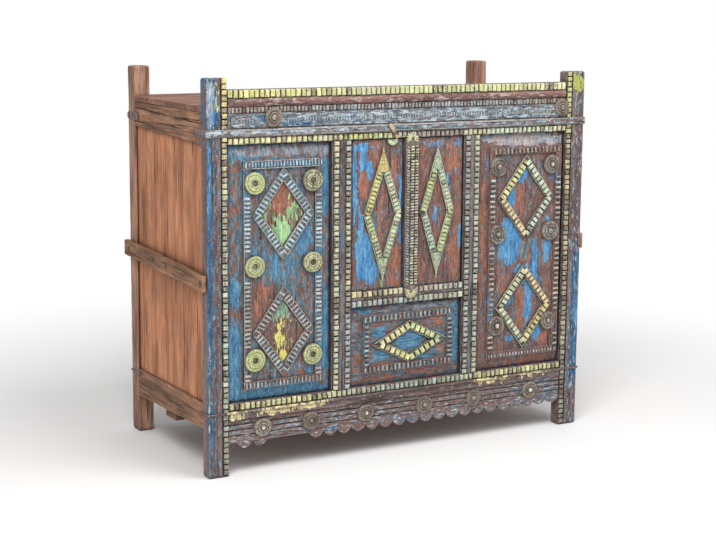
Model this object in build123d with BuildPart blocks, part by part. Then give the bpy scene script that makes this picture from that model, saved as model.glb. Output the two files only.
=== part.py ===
"""Carved dowry cabinet: a four-post frame on legs, boarded at the sides, back and top,
with a front of raised panels round a small pair of doors that turn on wooden pivots.

Millimetres. +Z is up, the front faces -Y and the origin is at the bottom centre of the
whole. "Depth" is measured back from the front face of the front posts, and "setback"
inward from the outer face of a post.
"""
import os

from build123d import *

os.makedirs("parts", exist_ok=True)

# ------------------------------------------------------------------ posts
cabinet_width = 1360.0
carcass_depth = 641.0
post_front_height = 1200.0
post_rear_height = 1213.0
post_left_width = 68.0
post_right_width = 70.0
post_front_depth = 44.0
post_rear_width = 54.0
post_rear_depth = 57.0
post_top_chamfer = 4.0
post_foot_chamfer = 5.0
post_strip_width = 23.0  # the beaded strip down the inner edge of each front post
flute_radius = 3.0
flute_pitch = 9.0
flute_count = 3
flute_margin = 9.0

# ------------------------------------------------------------------ bays of the front
left_bay = 350.0
door_bay = 410.0
muntin_left_width = 67.0
muntin_right_width = 60.0
muntin_margin = 4.0
muntin_strip_width = 18.0
muntin_reed_depth = 2.0

# ------------------------------------------------------------------ heights of the front
lobe_tip_height = 82.0
lobe_drop = 18.0
apron_height = 70.0
base_moulding_height = 31.0
sill_strip_height = 22.0
lower_panel_height = 257.0
cross_rail_height = 50.0
door_opening_height = 474.0
lintel_strip_height = 21.0
belt_height = 25.0
frieze_height = 45.0
bead_row_height = 20.0
crest_torus_height = 25.0
crest_strip_height = 25.0

# ------------------------------------------------------------------ depths of the front
frame_back = 40.0
strip_seat = 9.0  # depth of the rebates that the beaded strips lie in
frieze_recess = 4.0
apron_face = 6.0
apron_back = 30.0
tongue_front = 22.0
tongue_thickness = 8.0
groove_depth = 8.0
groove_end_gap = 1.0
groove_fit = 0.25
tenon_front = 12.0
tenon_thickness = 9.0
tenon_length = 24.0
tenon_shoulder = 12.0
cross_tenon_length = 20.0
mortise_fit = 0.2

# ------------------------------------------------------------------ frieze and apron carving
cartouche_inset = 8.0
cartouche_margin = 3.0
cartouche_end_gap = 2.0
cartouche_point = 14.0  # how far its blunt ends taper
cartouche_breaks = (-40.0, 355.0)
frieze_rosette_insets = (147.0, 20.0)  # from the left and the right post
shrinkage_gap = 5.0  # where the crest has dried away from the right post
shrinkage_rise = 86.0
lobe_pitch = 50.0
lobe_outline = ((-24, 0), (-19, 0.5), (-6, 1), (6, 1), (19, 0.5), (24, 0))  # x, share of drop
left_lobe_count = 2
left_lobe_start = 54.0
right_lobe_count = 19
right_lobe_end = 25.0
apron_flute_width = 6.0
apron_flute_depth = 3.0
apron_flute_count = 3
apron_flute_pitch = 17.0
apron_flute_drop = 13.0  # of the first one, below the apron's upper edge
apron_rosette_places = (-500.0, -335.0, -140.0, 75.0, 265.0, 490.0)

# ------------------------------------------------------------------ raised panels
panel_edge_gap = 0.5
bevel_rise = 10.0
field_step = 4.0
border_rise = 4.0
border_width = 23.0
left_field_margins = (50.0, 37.0, 38.0, 50.0)  # left, right, bottom, top
right_field_margins = (38.0, 14.0, 38.0, 46.0)
lower_field_margins = (42.0, 36.0, 42.0, 30.0)
left_diamond_margins = (78.0, 64.0)  # left, right
right_diamond_margins = (69.0, 44.0)
lower_diamond_margins = (73.0, 61.0, 63.5, 58.5)  # left, right, bottom, top
tall_diamond_height = 285.0
tall_diamond_middles = (430.0, 790.0)
diamond_band = 25.0

# ------------------------------------------------------------------ beads
bead_pitch = 19.0
muntin_bead_pitch = 18.0
bead_row_crown = 3.0
bead_cut_depth = 4.0
bead_cut_width = 5.0

# ------------------------------------------------------------------ mouldings
belt_proud = 4.0
belt_fillet = 1.0
base_ridge_height = 9.0
base_ridge_proud = 4.0
base_band_depth = 3.0
base_reed_height = 8.0
base_reed_depth = 0.5
crest_torus_proud = 2.0
crest_torus_fillet = 4.0
belt_return_front = 93.0
belt_return_rear = 89.0
belt_rear_rise = 15.0
base_return_front = 60.0
base_return_rear = 80.0
base_rear_rise = 6.0

# ------------------------------------------------------------------ discs and rosettes
petal_count = 16  # cut round the edge of each disc and rosette
petal_rim = 4.0
knob_taper = 0.5
disc_radius = 35.0
disc_thickness = 8.0
disc_dish = 3.0
disc_knob_radius = 10.0
disc_knob_rise = 6.0
left_disc_insets = (85.0, 71.0)  # of its two columns, from the left and right of the bay
left_disc_heights = (350.0, 637.0, 888.0)
right_disc_insets = (72.0, 54.0)
right_disc_heights = (370.0, 674.0, 896.0)
rosette_radius = 31.0
rosette_thickness = 9.0
rosette_dish = 3.0
rosette_knob_radius = 11.0
rosette_knob_rise = 5.0

# ------------------------------------------------------------------ doors
door_thickness = 22.0
door_face = 10.0
door_side_gap = 1.5
door_meeting_gap = 3.0
door_top_gap = 3.0
door_bottom_gap = 2.0
left_door_bay = 182.0  # from the left muntin to the meeting line
pivot_radius = 9.0
pivot_fit = 0.1
pivot_top_length = 20.0
pivot_bottom_length = 16.0
pivot_end_gap = 0.5
door_diamond_widths = (137.0, 125.0)  # left, right
door_diamond_height = 410.0
door_diamond_band = 23.0
door_diamond_shifts = (20.5, -13.5)  # to the right of the middle of what each door shows
door_border_rise = 3.5
half_rosette_radius = 20.0
half_rosette_thickness = 6.0
half_rosette_in = 37.0
astragal_width = 48.0
astragal_setback = 3.0
astragal_proud = 6.0
astragal_pitch = 11.0
astragal_rail_gap = 0.8
door_stop_height = 10.0
door_stop_gap = 1.0

# ------------------------------------------------------------------ door hardware
latch_arms = (34.0, 18.0)  # from its nail to its high and low ends
latch_width = 9.0
latch_thickness = 7.0
latch_gap = 0.3
latch_angle = 57.0  # how far its low end hangs below level, as it was left
latch_in = 39.0  # from the meeting line
latch_rise = 17.0  # above the lintel
nail_radius = 1.5
nail_width = 3.0  # forged square
nail_head = 7.0
nail_head_rise = 2.0
nail_fit = 0.05
nail_grip = 16.0
staple_width = 4.0  # forged square
staple_spread = 18.0
staple_projection = 15.0
staple_bend = 5.0
staple_grip = 12.0
staple_in = 67.0
staple_height = 763.0
door_nail_in = 8.0
door_nail_height = 770.0
door_nail_grip = 14.0

# ------------------------------------------------------------------ sides
side_board_setback = 10.0
side_board_thickness = 16.0
side_rail_setback = 2.0
side_rail_thickness = 34.0
lower_rail_top = 226.0
lower_rail_bottom = 146.0
lower_rail_top_rise = -10.0  # of its top edge, from the front post to the rear one
lower_rail_bottom_rise = -22.0
upper_rail_height = 61.0
upper_rail_rise = 15.0
side_top_end_gap = 9.0
side_board_count = 4
board_gap = 1.0
batten_thickness = 16.0
batten_height = 50.0
batten_left_height = 606.0  # middle of the batten, half way back
batten_right_height = 640.0
batten_rise = 19.0
batten_front = 5.0
batten_overhang = 12.0
batten_nail_width = 5.0  # forged square
batten_nail_head = 11.0
batten_nail_grip = 18.0
batten_nail_ends = (22.0, 29.0)  # in from the front and the back of the posts
batten_nail_inner = (-30.5, 79.5)  # back from half way

# ------------------------------------------------------------------ back, top and floor
back_setback = 8.0
back_board_thickness = 16.0
back_rail_thickness = 30.0
back_rail_lead = 10.0  # how far the rails stand in front of the boards
back_bottom_rail_bottom = 124.0
back_bottom_rail_height = 98.0
back_board_count = 6
top_surface = 1117.0
top_board_thickness = 17.0
top_board_count = 3
top_bearer_width = 50.0
top_bearer_height = 25.0
housing_depth = 8.0
floor_top = 152.0
floor_board_thickness = 18.0
floor_board_count = 7
ledger_width = 32.0
ledger_height = 20.0
floor_bearer_width = 80.0
floor_bearer_height = 22.0
floor_bearer_setback = 8.0
fit_gap = 1.0

# ------------------------------------------------------------------ positions from them
sill_bottom = lobe_tip_height + lobe_drop
base_bottom = sill_bottom + apron_height
sill_strip_bottom = base_bottom + base_moulding_height
sill_top = sill_strip_bottom + sill_strip_height
cross_bottom = sill_top + lower_panel_height
cross_top = cross_bottom + cross_rail_height
lintel = cross_top + door_opening_height
belt_bottom = lintel + lintel_strip_height
frieze_bottom = belt_bottom + belt_height
bead_row_bottom = frieze_bottom + frieze_height
crest_torus_bottom = bead_row_bottom + bead_row_height
crest_bottom = crest_torus_bottom + crest_torus_height
crest_top = crest_bottom + crest_strip_height

outer_left = -cabinet_width / 2
outer_right = cabinet_width / 2
frame_left = outer_left + post_left_width
frame_right = outer_right - post_right_width
muntin_left_x = (frame_left + left_bay, frame_left + left_bay + muntin_left_width)
muntin_right_x = (muntin_left_x[1] + door_bay, muntin_left_x[1] + door_bay + muntin_right_width)
left_opening = (frame_left, muntin_left_x[0])
door_opening = (muntin_left_x[1], muntin_right_x[0])
right_opening = (muntin_right_x[1], frame_right)
crest_right = frame_right - shrinkage_gap
meeting_line = door_opening[0] + left_door_bay
door_bottom = cross_top + door_bottom_gap
door_top = lintel - door_top_gap

# the rosettes of the frieze stand furthest forward and the battens furthest back
rosette_proud = rosette_thickness + rosette_knob_rise
front_y = -(carcass_depth + batten_overhang - rosette_proud) / 2
rear_face = carcass_depth - post_rear_depth
back_board_back = carcass_depth - back_setback
back_board_front = back_board_back - back_board_thickness
back_rail_front = back_board_front - back_rail_lead
back_rail_back = back_rail_front + back_rail_thickness
back_bottom_rail_top = back_bottom_rail_bottom + back_bottom_rail_height
top_underside = top_surface - top_board_thickness
floor_underside = floor_top - floor_board_thickness
side_rail_inner = side_rail_setback + side_rail_thickness
upper_rail_top = lintel + upper_rail_height
field_depth = tongue_front - bevel_rise - field_step
border_depth = field_depth - border_rise
tongue_back = tongue_front + tongue_thickness
tenon_back = tenon_front + tenon_thickness
pivot_depth = door_face + door_thickness / 2
latch_x = meeting_line - latch_in
latch_z = lintel + latch_rise
latch_back = -belt_proud - latch_gap
latch_face = latch_back - latch_thickness
floor_bearer_front = (carcass_depth - floor_bearer_width) / 2
floor_bearer_back = floor_bearer_front + floor_bearer_width


# ------------------------------------------------------------------ ways of working
def front_plane(depth):
    """Upright plane at a depth, seen from the front: sketch in (x, z), extrude forward."""
    return Plane(origin=(0, front_y + depth, 0), x_dir=(1, 0, 0), z_dir=(0, -1, 0))


def side_plane(x):
    """Upright plane across the cabinet: sketch in (depth, z), extrude to the right."""
    return Plane(origin=(x, front_y, 0), x_dir=(0, 1, 0), z_dir=(1, 0, 0))


def level_plane(z):
    """Level plane: sketch in (x, depth), extrude up."""
    return Plane(origin=(0, front_y, z))


def across(outer, inward, near, far):
    """The two x values that lie near and far inward from a post's outer face, in order."""
    return sorted((outer + inward * near, outer + inward * far))


def timber(x0, x1, d0, d1, z0, z1, mode=Mode.ADD):
    """A squared piece between two x, two depths and two heights."""
    with Locations(((x0 + x1) / 2, front_y + (d0 + d1) / 2, (z0 + z1) / 2)):
        Box(x1 - x0, d1 - d0, z1 - z0, mode=mode)


def slab(plane, corners, amount, mode=Mode.ADD):
    """A straight-sided outline drawn on a plane and extruded from it."""
    with BuildSketch(plane) as outline:
        with BuildLine():
            Polyline(*corners, close=True)
        make_face()
    extrude(outline.sketch, amount=amount, mode=mode)


def rod(plane, place, radius, amount, mode=Mode.ADD):
    """A round rod, or a bore for one, drawn on a plane and extruded from it."""
    with BuildSketch(plane) as section:
        with Locations(place):
            Circle(radius)
    extrude(section.sketch, amount=amount, mode=mode)


def rounded(plane, seat, edge, tip, low, high, amount, upright=False):
    """A moulding with a flat seat and a rounded face, low to high across its run."""
    def at(out, along):
        return (along, out) if upright else (out, along)

    with BuildSketch(plane) as section:
        with BuildLine():
            Polyline(at(edge, high), at(seat, high), at(seat, low), at(edge, low))
            ThreePointArc(at(edge, low), at(tip, (low + high) / 2), at(edge, high))
        make_face()
    extrude(section.sketch, amount=amount)


def bead_profile(start, end, pitch, seat, crown, ridged):
    """Section of a beaded strip along its run: blocks parted by V cuts, or a row of ridges."""
    count = max(1, round((end - start) / pitch))
    step = (end - start) / count
    points = [(start, seat), (start, crown)]
    for cut in range(1, count):
        middle = start + cut * step
        if ridged:
            points.append((middle - step / 2, crown))
            points.append((middle, crown + bead_cut_depth))
        else:
            points.append((middle - bead_cut_width / 2, crown))
            points.append((middle, crown + bead_cut_depth))
            points.append((middle + bead_cut_width / 2, crown))
    return points + [(end, crown), (end, seat)]


def level_strip(x0, x1, z0, z1, ridged=False):
    """A beaded strip that runs from left to right."""
    slab(level_plane(z0), bead_profile(x0, x1, bead_pitch, strip_seat, 0, ridged), z1 - z0)


def upright_strip(x0, x1, z0, z1, pitch=bead_pitch, seat=strip_seat, crown=0.0):
    """A ridged strip that runs up and down."""
    profile = bead_profile(z0, z1, pitch, seat, crown, True)
    slab(side_plane(x0), [(depth, z) for z, depth in profile], x1 - x0)


def petalled(radius, thickness, dish, knob_radius, knob_rise):
    """A disc on the ground plane: an edge cut in petals, a dished face and a middle knob."""
    with BuildPart() as disc:
        with BuildSketch():
            RegularPolygon(radius, petal_count)
        extrude(amount=thickness)
        with BuildSketch(Plane.XY.offset(thickness)):
            RegularPolygon(radius - petal_rim, petal_count)
        with BuildSketch(Plane.XY.offset(thickness - dish)):
            RegularPolygon(knob_radius, petal_count)
        loft(mode=Mode.SUBTRACT)
        with BuildSketch(Plane.XY.offset(thickness - dish)):
            RegularPolygon(knob_radius, petal_count)
        with BuildSketch(Plane.XY.offset(thickness + knob_rise)):
            RegularPolygon(knob_radius * knob_taper, petal_count)
        loft()
    return disc.part


def diamond(width, height, band):
    """A diamond-shaped band in the current sketch; the band is measured square to a side."""
    slant = (width**2 + height**2) ** 0.5
    for shrink, mode in ((0, Mode.ADD), (2 * band * slant, Mode.SUBTRACT)):
        half_width = (width - shrink / height) / 2
        half_height = (height - shrink / width) / 2
        corners = ((-half_width, 0), (0, -half_height), (half_width, 0), (0, half_height))
        Polygon(*corners, mode=mode)


def rectangle(a0, a1, b0, b1, mode=Mode.ADD):
    """A rectangle between two corners of the current sketch."""
    with Locations(((a0 + a1) / 2, (b0 + b1) / 2)):
        Rectangle(a1 - a0, b1 - b0, mode=mode)


def finish(piece, name):
    """Label a finished piece and write it."""
    piece.part.label = name
    export_step(piece.part, f"parts/{name}.step")


# ------------------------------------------------------------------ heights along a side
def side_height(height, rise, depth):
    """Height of a side rail's edge at a depth, from its height at the front post."""
    return height + rise * (depth - post_front_depth) / (rear_face - post_front_depth)


def side_band(x0, x1, d0, d1, low, high, mode=Mode.ADD):
    """A board in a side between two depths; low and high are (height, rise) edges."""
    corners = [
        (d0, side_height(*low, d0)),
        (d1, side_height(*low, d1)),
        (d1, side_height(*high, d1)),
        (d0, side_height(*high, d0)),
    ]
    slab(side_plane(x0), corners, x1 - x0, mode)


def raised(edge, amount):
    """A (height, rise) edge moved up by an amount."""
    return (edge[0] + amount, edge[1])


lower_rail_low = (lower_rail_bottom, lower_rail_bottom_rise)
lower_rail_high = (lower_rail_top, lower_rail_top_rise)
upper_rail_low = (lintel, upper_rail_rise)
upper_rail_high = (upper_rail_top, upper_rail_rise)
side_tongue = (side_board_setback, side_board_setback + side_board_thickness)
side_groove = (side_tongue[0] - groove_fit, side_tongue[1] + groove_fit)
back_groove = (back_board_front - groove_fit, back_board_back + groove_fit)


def batten_edge(middle):
    """The lower edge of a batten whose middle lies at a height half way back."""
    half_way = carcass_depth / 2
    rise = batten_rise * (rear_face - post_front_depth) / carcass_depth
    at_post = middle - batten_height / 2 - batten_rise * (half_way - post_front_depth) / carcass_depth
    return (at_post, rise)


def batten_nail_places(middle):
    """Where the nails go through a batten, as (depth, height)."""
    low = batten_edge(middle)
    depths = [batten_nail_ends[0], carcass_depth - batten_nail_ends[1]]
    depths += [carcass_depth / 2 + step for step in batten_nail_inner]
    return [(d, side_height(*low, d) + batten_height / 2) for d in depths]


def batten_nail_shanks(outer, inward, middle, width, mode=Mode.ADD):
    """Square nail shanks through one batten, or the holes that they fill."""
    ends = across(outer, inward, -batten_thickness, batten_nail_grip)
    for depth, z in batten_nail_places(middle):
        timber(*ends, depth - width / 2, depth + width / 2, z - width / 2, z + width / 2, mode)


def batten_nail_holes(outer, inward, middle):
    """Holes for the nails of one batten, through whatever piece is being made."""
    batten_nail_shanks(outer, inward, middle, batten_nail_width + 2 * nail_fit, Mode.SUBTRACT)


sides = {
    "left": (outer_left, 1, batten_left_height),
    "right": (outer_right, -1, batten_right_height),
}


# ------------------------------------------------------------------ posts
def front_post(outer, inward, width, batten_middle):
    """A fluted front post with a rebate for its beads, grooves for panels, and mortises."""
    with BuildPart() as post:
        timber(*across(outer, inward, 0, width), 0, post_front_depth, 0, post_front_height)
        chamfer(post.faces().sort_by(Axis.Z)[-1].edges(), length=post_top_chamfer)
        chamfer(post.faces().sort_by(Axis.Z)[0].edges(), length=post_foot_chamfer)
        strip = across(outer, inward, width - post_strip_width, width)
        timber(*strip, 0, strip_seat, post_foot_chamfer, post_front_height, Mode.SUBTRACT)
        for flute in range(flute_count):
            place = (outer + inward * (flute_margin + flute * flute_pitch), 0)
            rod(level_plane(0), place, flute_radius, post_front_height, Mode.SUBTRACT)
        panel_groove = across(outer, inward, width - groove_depth, width)
        panel_depths = (tongue_front - groove_fit, tongue_back + groove_fit)
        timber(*panel_groove, *panel_depths, sill_top - groove_depth, lintel + groove_depth,
               Mode.SUBTRACT)
        rail_mortise = across(outer, inward, width - tenon_length - mortise_fit, width)
        rail_depths = (tenon_front - mortise_fit, tenon_back + mortise_fit)
        for low, high in front_tenon_heights:
            heights = (low - mortise_fit, high + mortise_fit)
            timber(*rail_mortise, *rail_depths, *heights, Mode.SUBTRACT)
        side_sockets(outer, inward, post_front_depth, -1)
        batten_nail_holes(outer, inward, batten_middle)
    return post


def rear_post(outer, inward, batten_middle):
    """A plain rear post, grooved for the side and back boards and mortised for the rails."""
    with BuildPart() as post:
        width = post_rear_width
        timber(*across(outer, inward, 0, width), rear_face, carcass_depth, 0, post_rear_height)
        chamfer(post.faces().sort_by(Axis.Z)[-1].edges(), length=post_top_chamfer)
        chamfer(post.faces().sort_by(Axis.Z)[0].edges(), length=post_foot_chamfer)
        board_groove = across(outer, inward, width - groove_depth, width)
        timber(*board_groove, *back_groove, back_bottom_rail_top - groove_depth,
               lintel + groove_depth, Mode.SUBTRACT)
        rail_mortise = across(outer, inward, width - tenon_length - mortise_fit, width)
        rail_depths = (back_board_front - mortise_fit, back_board_back + mortise_fit)
        for low, high in back_tenon_heights:
            heights = (low - mortise_fit, high + mortise_fit)
            timber(*rail_mortise, *rail_depths, *heights, Mode.SUBTRACT)
        side_sockets(outer, inward, rear_face, 1)
        batten_nail_holes(outer, inward, batten_middle)
    return post


def side_sockets(outer, inward, face, into):
    """Groove for the side boards and mortises for the side rails, from a post's face."""
    depths = sorted((face, face + into * groove_depth))
    groove = across(outer, inward, *side_groove)
    edges = (raised(lower_rail_high, -groove_depth), raised(upper_rail_low, groove_depth))
    side_band(*groove, *depths, *edges, Mode.SUBTRACT)
    depths = sorted((face, face + into * (tenon_length + mortise_fit)))
    mortise = across(outer, inward, side_tongue[0] - mortise_fit, side_tongue[1] + mortise_fit)
    for low, high in side_tenon_edges:
        edges = (raised(low, -mortise_fit), raised(high, mortise_fit))
        side_band(*mortise, *depths, *edges, Mode.SUBTRACT)


front_tenon_heights = [
    (base_bottom + tenon_shoulder, sill_top - tenon_shoulder),
    (lintel + tenon_shoulder, crest_top - tenon_shoulder),
]
back_tenon_heights = [
    (back_bottom_rail_bottom + tenon_shoulder, back_bottom_rail_top - tenon_shoulder),
    (lintel + tenon_shoulder, top_underside - tenon_shoulder),
]
side_tenon_edges = [
    (raised(lower_rail_low, tenon_shoulder), raised(lower_rail_high, -tenon_shoulder)),
    (raised(upper_rail_low, tenon_shoulder), raised(upper_rail_high, -tenon_shoulder)),
]

finish(front_post(outer_left, 1, post_left_width, batten_left_height), "post_front_left")
finish(front_post(outer_right, -1, post_right_width, batten_right_height), "post_front_right")
finish(rear_post(outer_left, 1, batten_left_height), "post_rear_left")
finish(rear_post(outer_right, -1, batten_right_height), "post_rear_right")


# ------------------------------------------------------------------ front rails
def rail_tenons(x0, x1, heights):
    """A tenon at each end of a front rail that lies between x0 and x1."""
    timber(x0 - tenon_length, x1 + tenon_length, tenon_front, tenon_back, *heights)


def panel_grooves(openings, z0, z1):
    """A level groove for panel tongues along each opening and on into its corners."""
    for x0, x1 in openings:
        depths = (tongue_front - groove_fit, tongue_back + groove_fit)
        timber(x0 - groove_depth, x1 + groove_depth, *depths, z0, z1, Mode.SUBTRACT)


def muntin_mortises(z0, z1):
    """Mortises for the ends of both muntins."""
    for x0, x1 in (muntin_left_x, muntin_right_x):
        depths = (tenon_front - mortise_fit, tenon_back + mortise_fit)
        x0, x1 = x0 + tenon_shoulder - mortise_fit, x1 - tenon_shoulder + mortise_fit
        timber(x0, x1, *depths, z0, z1, Mode.SUBTRACT)


pivot_x = {
    "left": door_opening[0] + door_side_gap + door_thickness / 2,
    "right": door_opening[1] - door_side_gap - door_thickness / 2,
}
pivot_places = [(x, pivot_depth) for x in pivot_x.values()]
frieze_rosette_x = (
    frame_left + frieze_rosette_insets[0],
    frame_right - frieze_rosette_insets[1],
)

with BuildPart() as rail_front_top:
    timber(frame_left, frame_right, strip_seat, frame_back, lintel, crest_top)
    timber(frame_left, frame_right, 0, strip_seat, belt_bottom, frieze_bottom)
    timber(frame_left, frame_right, frieze_recess, strip_seat, frieze_bottom, bead_row_bottom)
    rail_tenons(frame_left, frame_right, front_tenon_heights[1])
    cartouche_ends = [
        frame_left + cartouche_inset,
        frieze_rosette_x[0],
        *cartouche_breaks,
        crest_right - cartouche_inset,
    ]
    for start, end in zip(cartouche_ends, cartouche_ends[1:]):
        start, end = start + cartouche_end_gap / 2, end - cartouche_end_gap / 2
        low, high = frieze_bottom + cartouche_margin, bead_row_bottom - cartouche_margin
        blunt = (high - low) / 4
        tablet = [(start, low + blunt), (start + cartouche_point, low)]
        tablet += [(end - cartouche_point, low), (end, low + blunt)]
        tablet += [(end, high - blunt), (end - cartouche_point, high)]
        tablet += [(start + cartouche_point, high), (start, high - blunt)]
        slab(front_plane(frieze_recess), tablet, frieze_recess)
    timber(crest_right, frame_right, 0, frame_back, crest_top - shrinkage_rise + shrinkage_gap,
           crest_top, Mode.SUBTRACT)
    panel_grooves((left_opening, right_opening), lintel, lintel + groove_depth)
    muntin_mortises(lintel, lintel + tenon_length + mortise_fit)
    top_housing = (frame_back - housing_depth, frame_back)
    timber(frame_left, frame_right, *top_housing, top_underside - groove_fit,
           top_surface + groove_fit, Mode.SUBTRACT)
    timber(-top_bearer_width / 2, top_bearer_width / 2, *top_housing,
           top_underside - top_bearer_height, top_underside, Mode.SUBTRACT)
    for place in pivot_places:
        rod(level_plane(lintel), place, pivot_radius + pivot_fit,
            pivot_top_length - door_top_gap + pivot_end_gap, Mode.SUBTRACT)
    rod(front_plane(nail_grip), (latch_x, latch_z), nail_radius + nail_fit, nail_grip,
        Mode.SUBTRACT)
finish(rail_front_top, "rail_front_top")

with BuildPart() as rail_front_bottom:
    timber(frame_left, frame_right, strip_seat, frame_back, base_bottom, sill_top)
    rail_tenons(frame_left, frame_right, front_tenon_heights[0])
    with BuildSketch(front_plane(apron_back)):
        rectangle(frame_left, frame_right, sill_bottom, base_bottom)
        lobes = [frame_left + left_lobe_start + k * lobe_pitch for k in range(left_lobe_count)]
        lobes += [frame_right - right_lobe_end - k * lobe_pitch for k in range(right_lobe_count)]
        for x in lobes:
            Polygon(*[(x + dx, sill_bottom - share * lobe_drop) for dx, share in lobe_outline],
                    align=None)
    extrude(amount=apron_back - apron_face)
    for flute in range(apron_flute_count):
        z = base_bottom - apron_flute_drop - flute * apron_flute_pitch
        v_cut = [
            (apron_face, z - apron_flute_width / 2),
            (apron_face + apron_flute_depth, z),
            (apron_face, z + apron_flute_width / 2),
        ]
        slab(side_plane(frame_left), v_cut, frame_right - frame_left, Mode.SUBTRACT)
    panel_grooves((left_opening, door_opening, right_opening), sill_top - groove_depth, sill_top)
    muntin_mortises(sill_top - tenon_length - mortise_fit, sill_top)
finish(rail_front_bottom, "rail_front_bottom")


def muntin(x0, x1, inner_face, into):
    """An upright between two bays, with a rounded reed up its middle."""
    with BuildPart() as upright:
        timber(x0, x1, strip_seat, frame_back, sill_top, lintel)
        timber(x0 + tenon_shoulder, x1 - tenon_shoulder, tenon_front, tenon_back,
               sill_top - tenon_length, lintel + tenon_length)
        reed_inset = muntin_margin + muntin_strip_width
        rounded(level_plane(sill_top), strip_seat, (strip_seat + muntin_reed_depth) / 2,
                muntin_reed_depth, x0 + reed_inset, x1 - reed_inset, lintel - sill_top,
                upright=True)
        depths = (tongue_front - groove_fit, tongue_back + groove_fit)
        outer_face = x0 if inner_face == x1 else x1
        outer_groove = sorted((outer_face, outer_face - into * groove_depth))
        inner_groove = sorted((inner_face, inner_face + into * groove_depth))
        timber(*outer_groove, *depths, sill_top, lintel, Mode.SUBTRACT)
        timber(*inner_groove, *depths, sill_top, cross_bottom + groove_depth, Mode.SUBTRACT)
        mortise = sorted((inner_face, inner_face + into * (cross_tenon_length + mortise_fit)))
        low, high = cross_tenon_heights
        timber(*mortise, tenon_front - mortise_fit, tenon_back + mortise_fit,
               low - mortise_fit, high + mortise_fit, Mode.SUBTRACT)
    return upright


cross_tenon_heights = (cross_bottom + tenon_shoulder, cross_top - tenon_shoulder)
finish(muntin(*muntin_left_x, muntin_left_x[1], -1), "muntin_left")
finish(muntin(*muntin_right_x, muntin_right_x[0], 1), "muntin_right")

cross_strip_height = (cross_rail_height - base_ridge_height) / 2
with BuildPart() as rail_cross:
    timber(*door_opening, strip_seat, frame_back, cross_bottom, cross_top)
    timber(door_opening[0] - cross_tenon_length, door_opening[1] + cross_tenon_length,
           tenon_front, tenon_back, *cross_tenon_heights)
    rounded(side_plane(door_opening[0]), strip_seat, frieze_recess, muntin_reed_depth,
            cross_bottom + cross_strip_height, cross_top - cross_strip_height, door_bay)
    panel_grooves((door_opening,), cross_bottom, cross_bottom + groove_depth)
    socket_depth = pivot_bottom_length - door_bottom_gap
    for place in pivot_places:
        rod(level_plane(cross_top - socket_depth), place, pivot_radius + pivot_fit,
            socket_depth, Mode.SUBTRACT)
finish(rail_cross, "rail_cross")


# ------------------------------------------------------------------ raised panels
def raised_panel(opening, z0, z1, margins, diamonds):
    """A panel tongued into its frame: bevels, a stepped field, a border and diamonds."""
    x0, x1 = opening
    left, right, bottom, top = margins
    reach = groove_depth - groove_end_gap
    field = (x0 + left, x1 - right, z0 + bottom, z1 - top)
    with BuildPart() as panel:
        timber(x0 - reach, x1 + reach, tongue_front, tongue_back, z0 - reach, z1 + reach)
        with BuildSketch(front_plane(tongue_front)):
            rectangle(x0 + panel_edge_gap, x1 - panel_edge_gap,
                      z0 + panel_edge_gap, z1 - panel_edge_gap)
        with BuildSketch(front_plane(tongue_front - bevel_rise)):
            rectangle(*field)
        loft()
        with BuildSketch(front_plane(tongue_front - bevel_rise)):
            rectangle(*field)
        extrude(amount=field_step)
        with BuildSketch(front_plane(field_depth)):
            rectangle(*field)
            f0, f1, f2, f3 = field
            rectangle(f0 + border_width, f1 - border_width, f2 + border_width,
                      f3 - border_width, Mode.SUBTRACT)
            for left, right, low, high in diamonds:
                with Locations(((left + right) / 2, (low + high) / 2)):
                    diamond(right - left, high - low, diamond_band)
        extrude(amount=border_rise)
    return panel


def tall_diamonds(opening, margins):
    """The two diamonds of a tall panel, as (left, right, low, high)."""
    left, right = opening[0] + margins[0], opening[1] - margins[1]
    half = tall_diamond_height / 2
    return [(left, right, middle - half, middle + half) for middle in tall_diamond_middles]


lower_diamond = (
    door_opening[0] + lower_diamond_margins[0],
    door_opening[1] - lower_diamond_margins[1],
    sill_top + lower_diamond_margins[2],
    cross_bottom - lower_diamond_margins[3],
)
finish(
    raised_panel(left_opening, sill_top, lintel, left_field_margins,
                 tall_diamonds(left_opening, left_diamond_margins)),
    "panel_front_left",
)
finish(
    raised_panel(right_opening, sill_top, lintel, right_field_margins,
                 tall_diamonds(right_opening, right_diamond_margins)),
    "panel_front_right",
)
finish(
    raised_panel(door_opening, sill_top, cross_bottom, lower_field_margins, [lower_diamond]),
    "panel_front_lower",
)

# ------------------------------------------------------------------ discs and rosettes in place
plain_disc = petalled(disc_radius, disc_thickness, disc_dish, disc_knob_radius, 0)
knobbed_disc = petalled(disc_radius, disc_thickness, disc_dish, disc_knob_radius, disc_knob_rise)
rosette = petalled(rosette_radius, rosette_thickness, rosette_dish, rosette_knob_radius,
                   rosette_knob_rise)



def disc_places(opening, insets, heights):
    """The middles of a panel's discs, in two columns."""
    columns = (opening[0] + insets[0], opening[1] - insets[1])
    return [(x, z) for x in columns for z in heights]


with BuildPart(front_plane(border_depth)) as discs_panel_left:
    with Locations(*disc_places(left_opening, left_disc_insets, left_disc_heights)):
        add(plain_disc)
finish(discs_panel_left, "discs_panel_left")

with BuildPart(front_plane(border_depth)) as discs_panel_right:
    with Locations(*disc_places(right_opening, right_disc_insets, right_disc_heights)):
        add(knobbed_disc)
finish(discs_panel_right, "discs_panel_right")

apron_rosette_height = base_bottom - rosette_radius - fit_gap
with BuildPart(front_plane(apron_face)) as rosettes_apron:
    with Locations(*[(x, apron_rosette_height) for x in apron_rosette_places]):
        add(rosette)
finish(rosettes_apron, "rosettes_apron")

with BuildPart(front_plane(0)) as rosettes_frieze:
    with Locations(*[(x, frieze_bottom + rosette_radius + fit_gap) for x in frieze_rosette_x]):
        add(rosette)
finish(rosettes_frieze, "rosettes_frieze")

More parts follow.
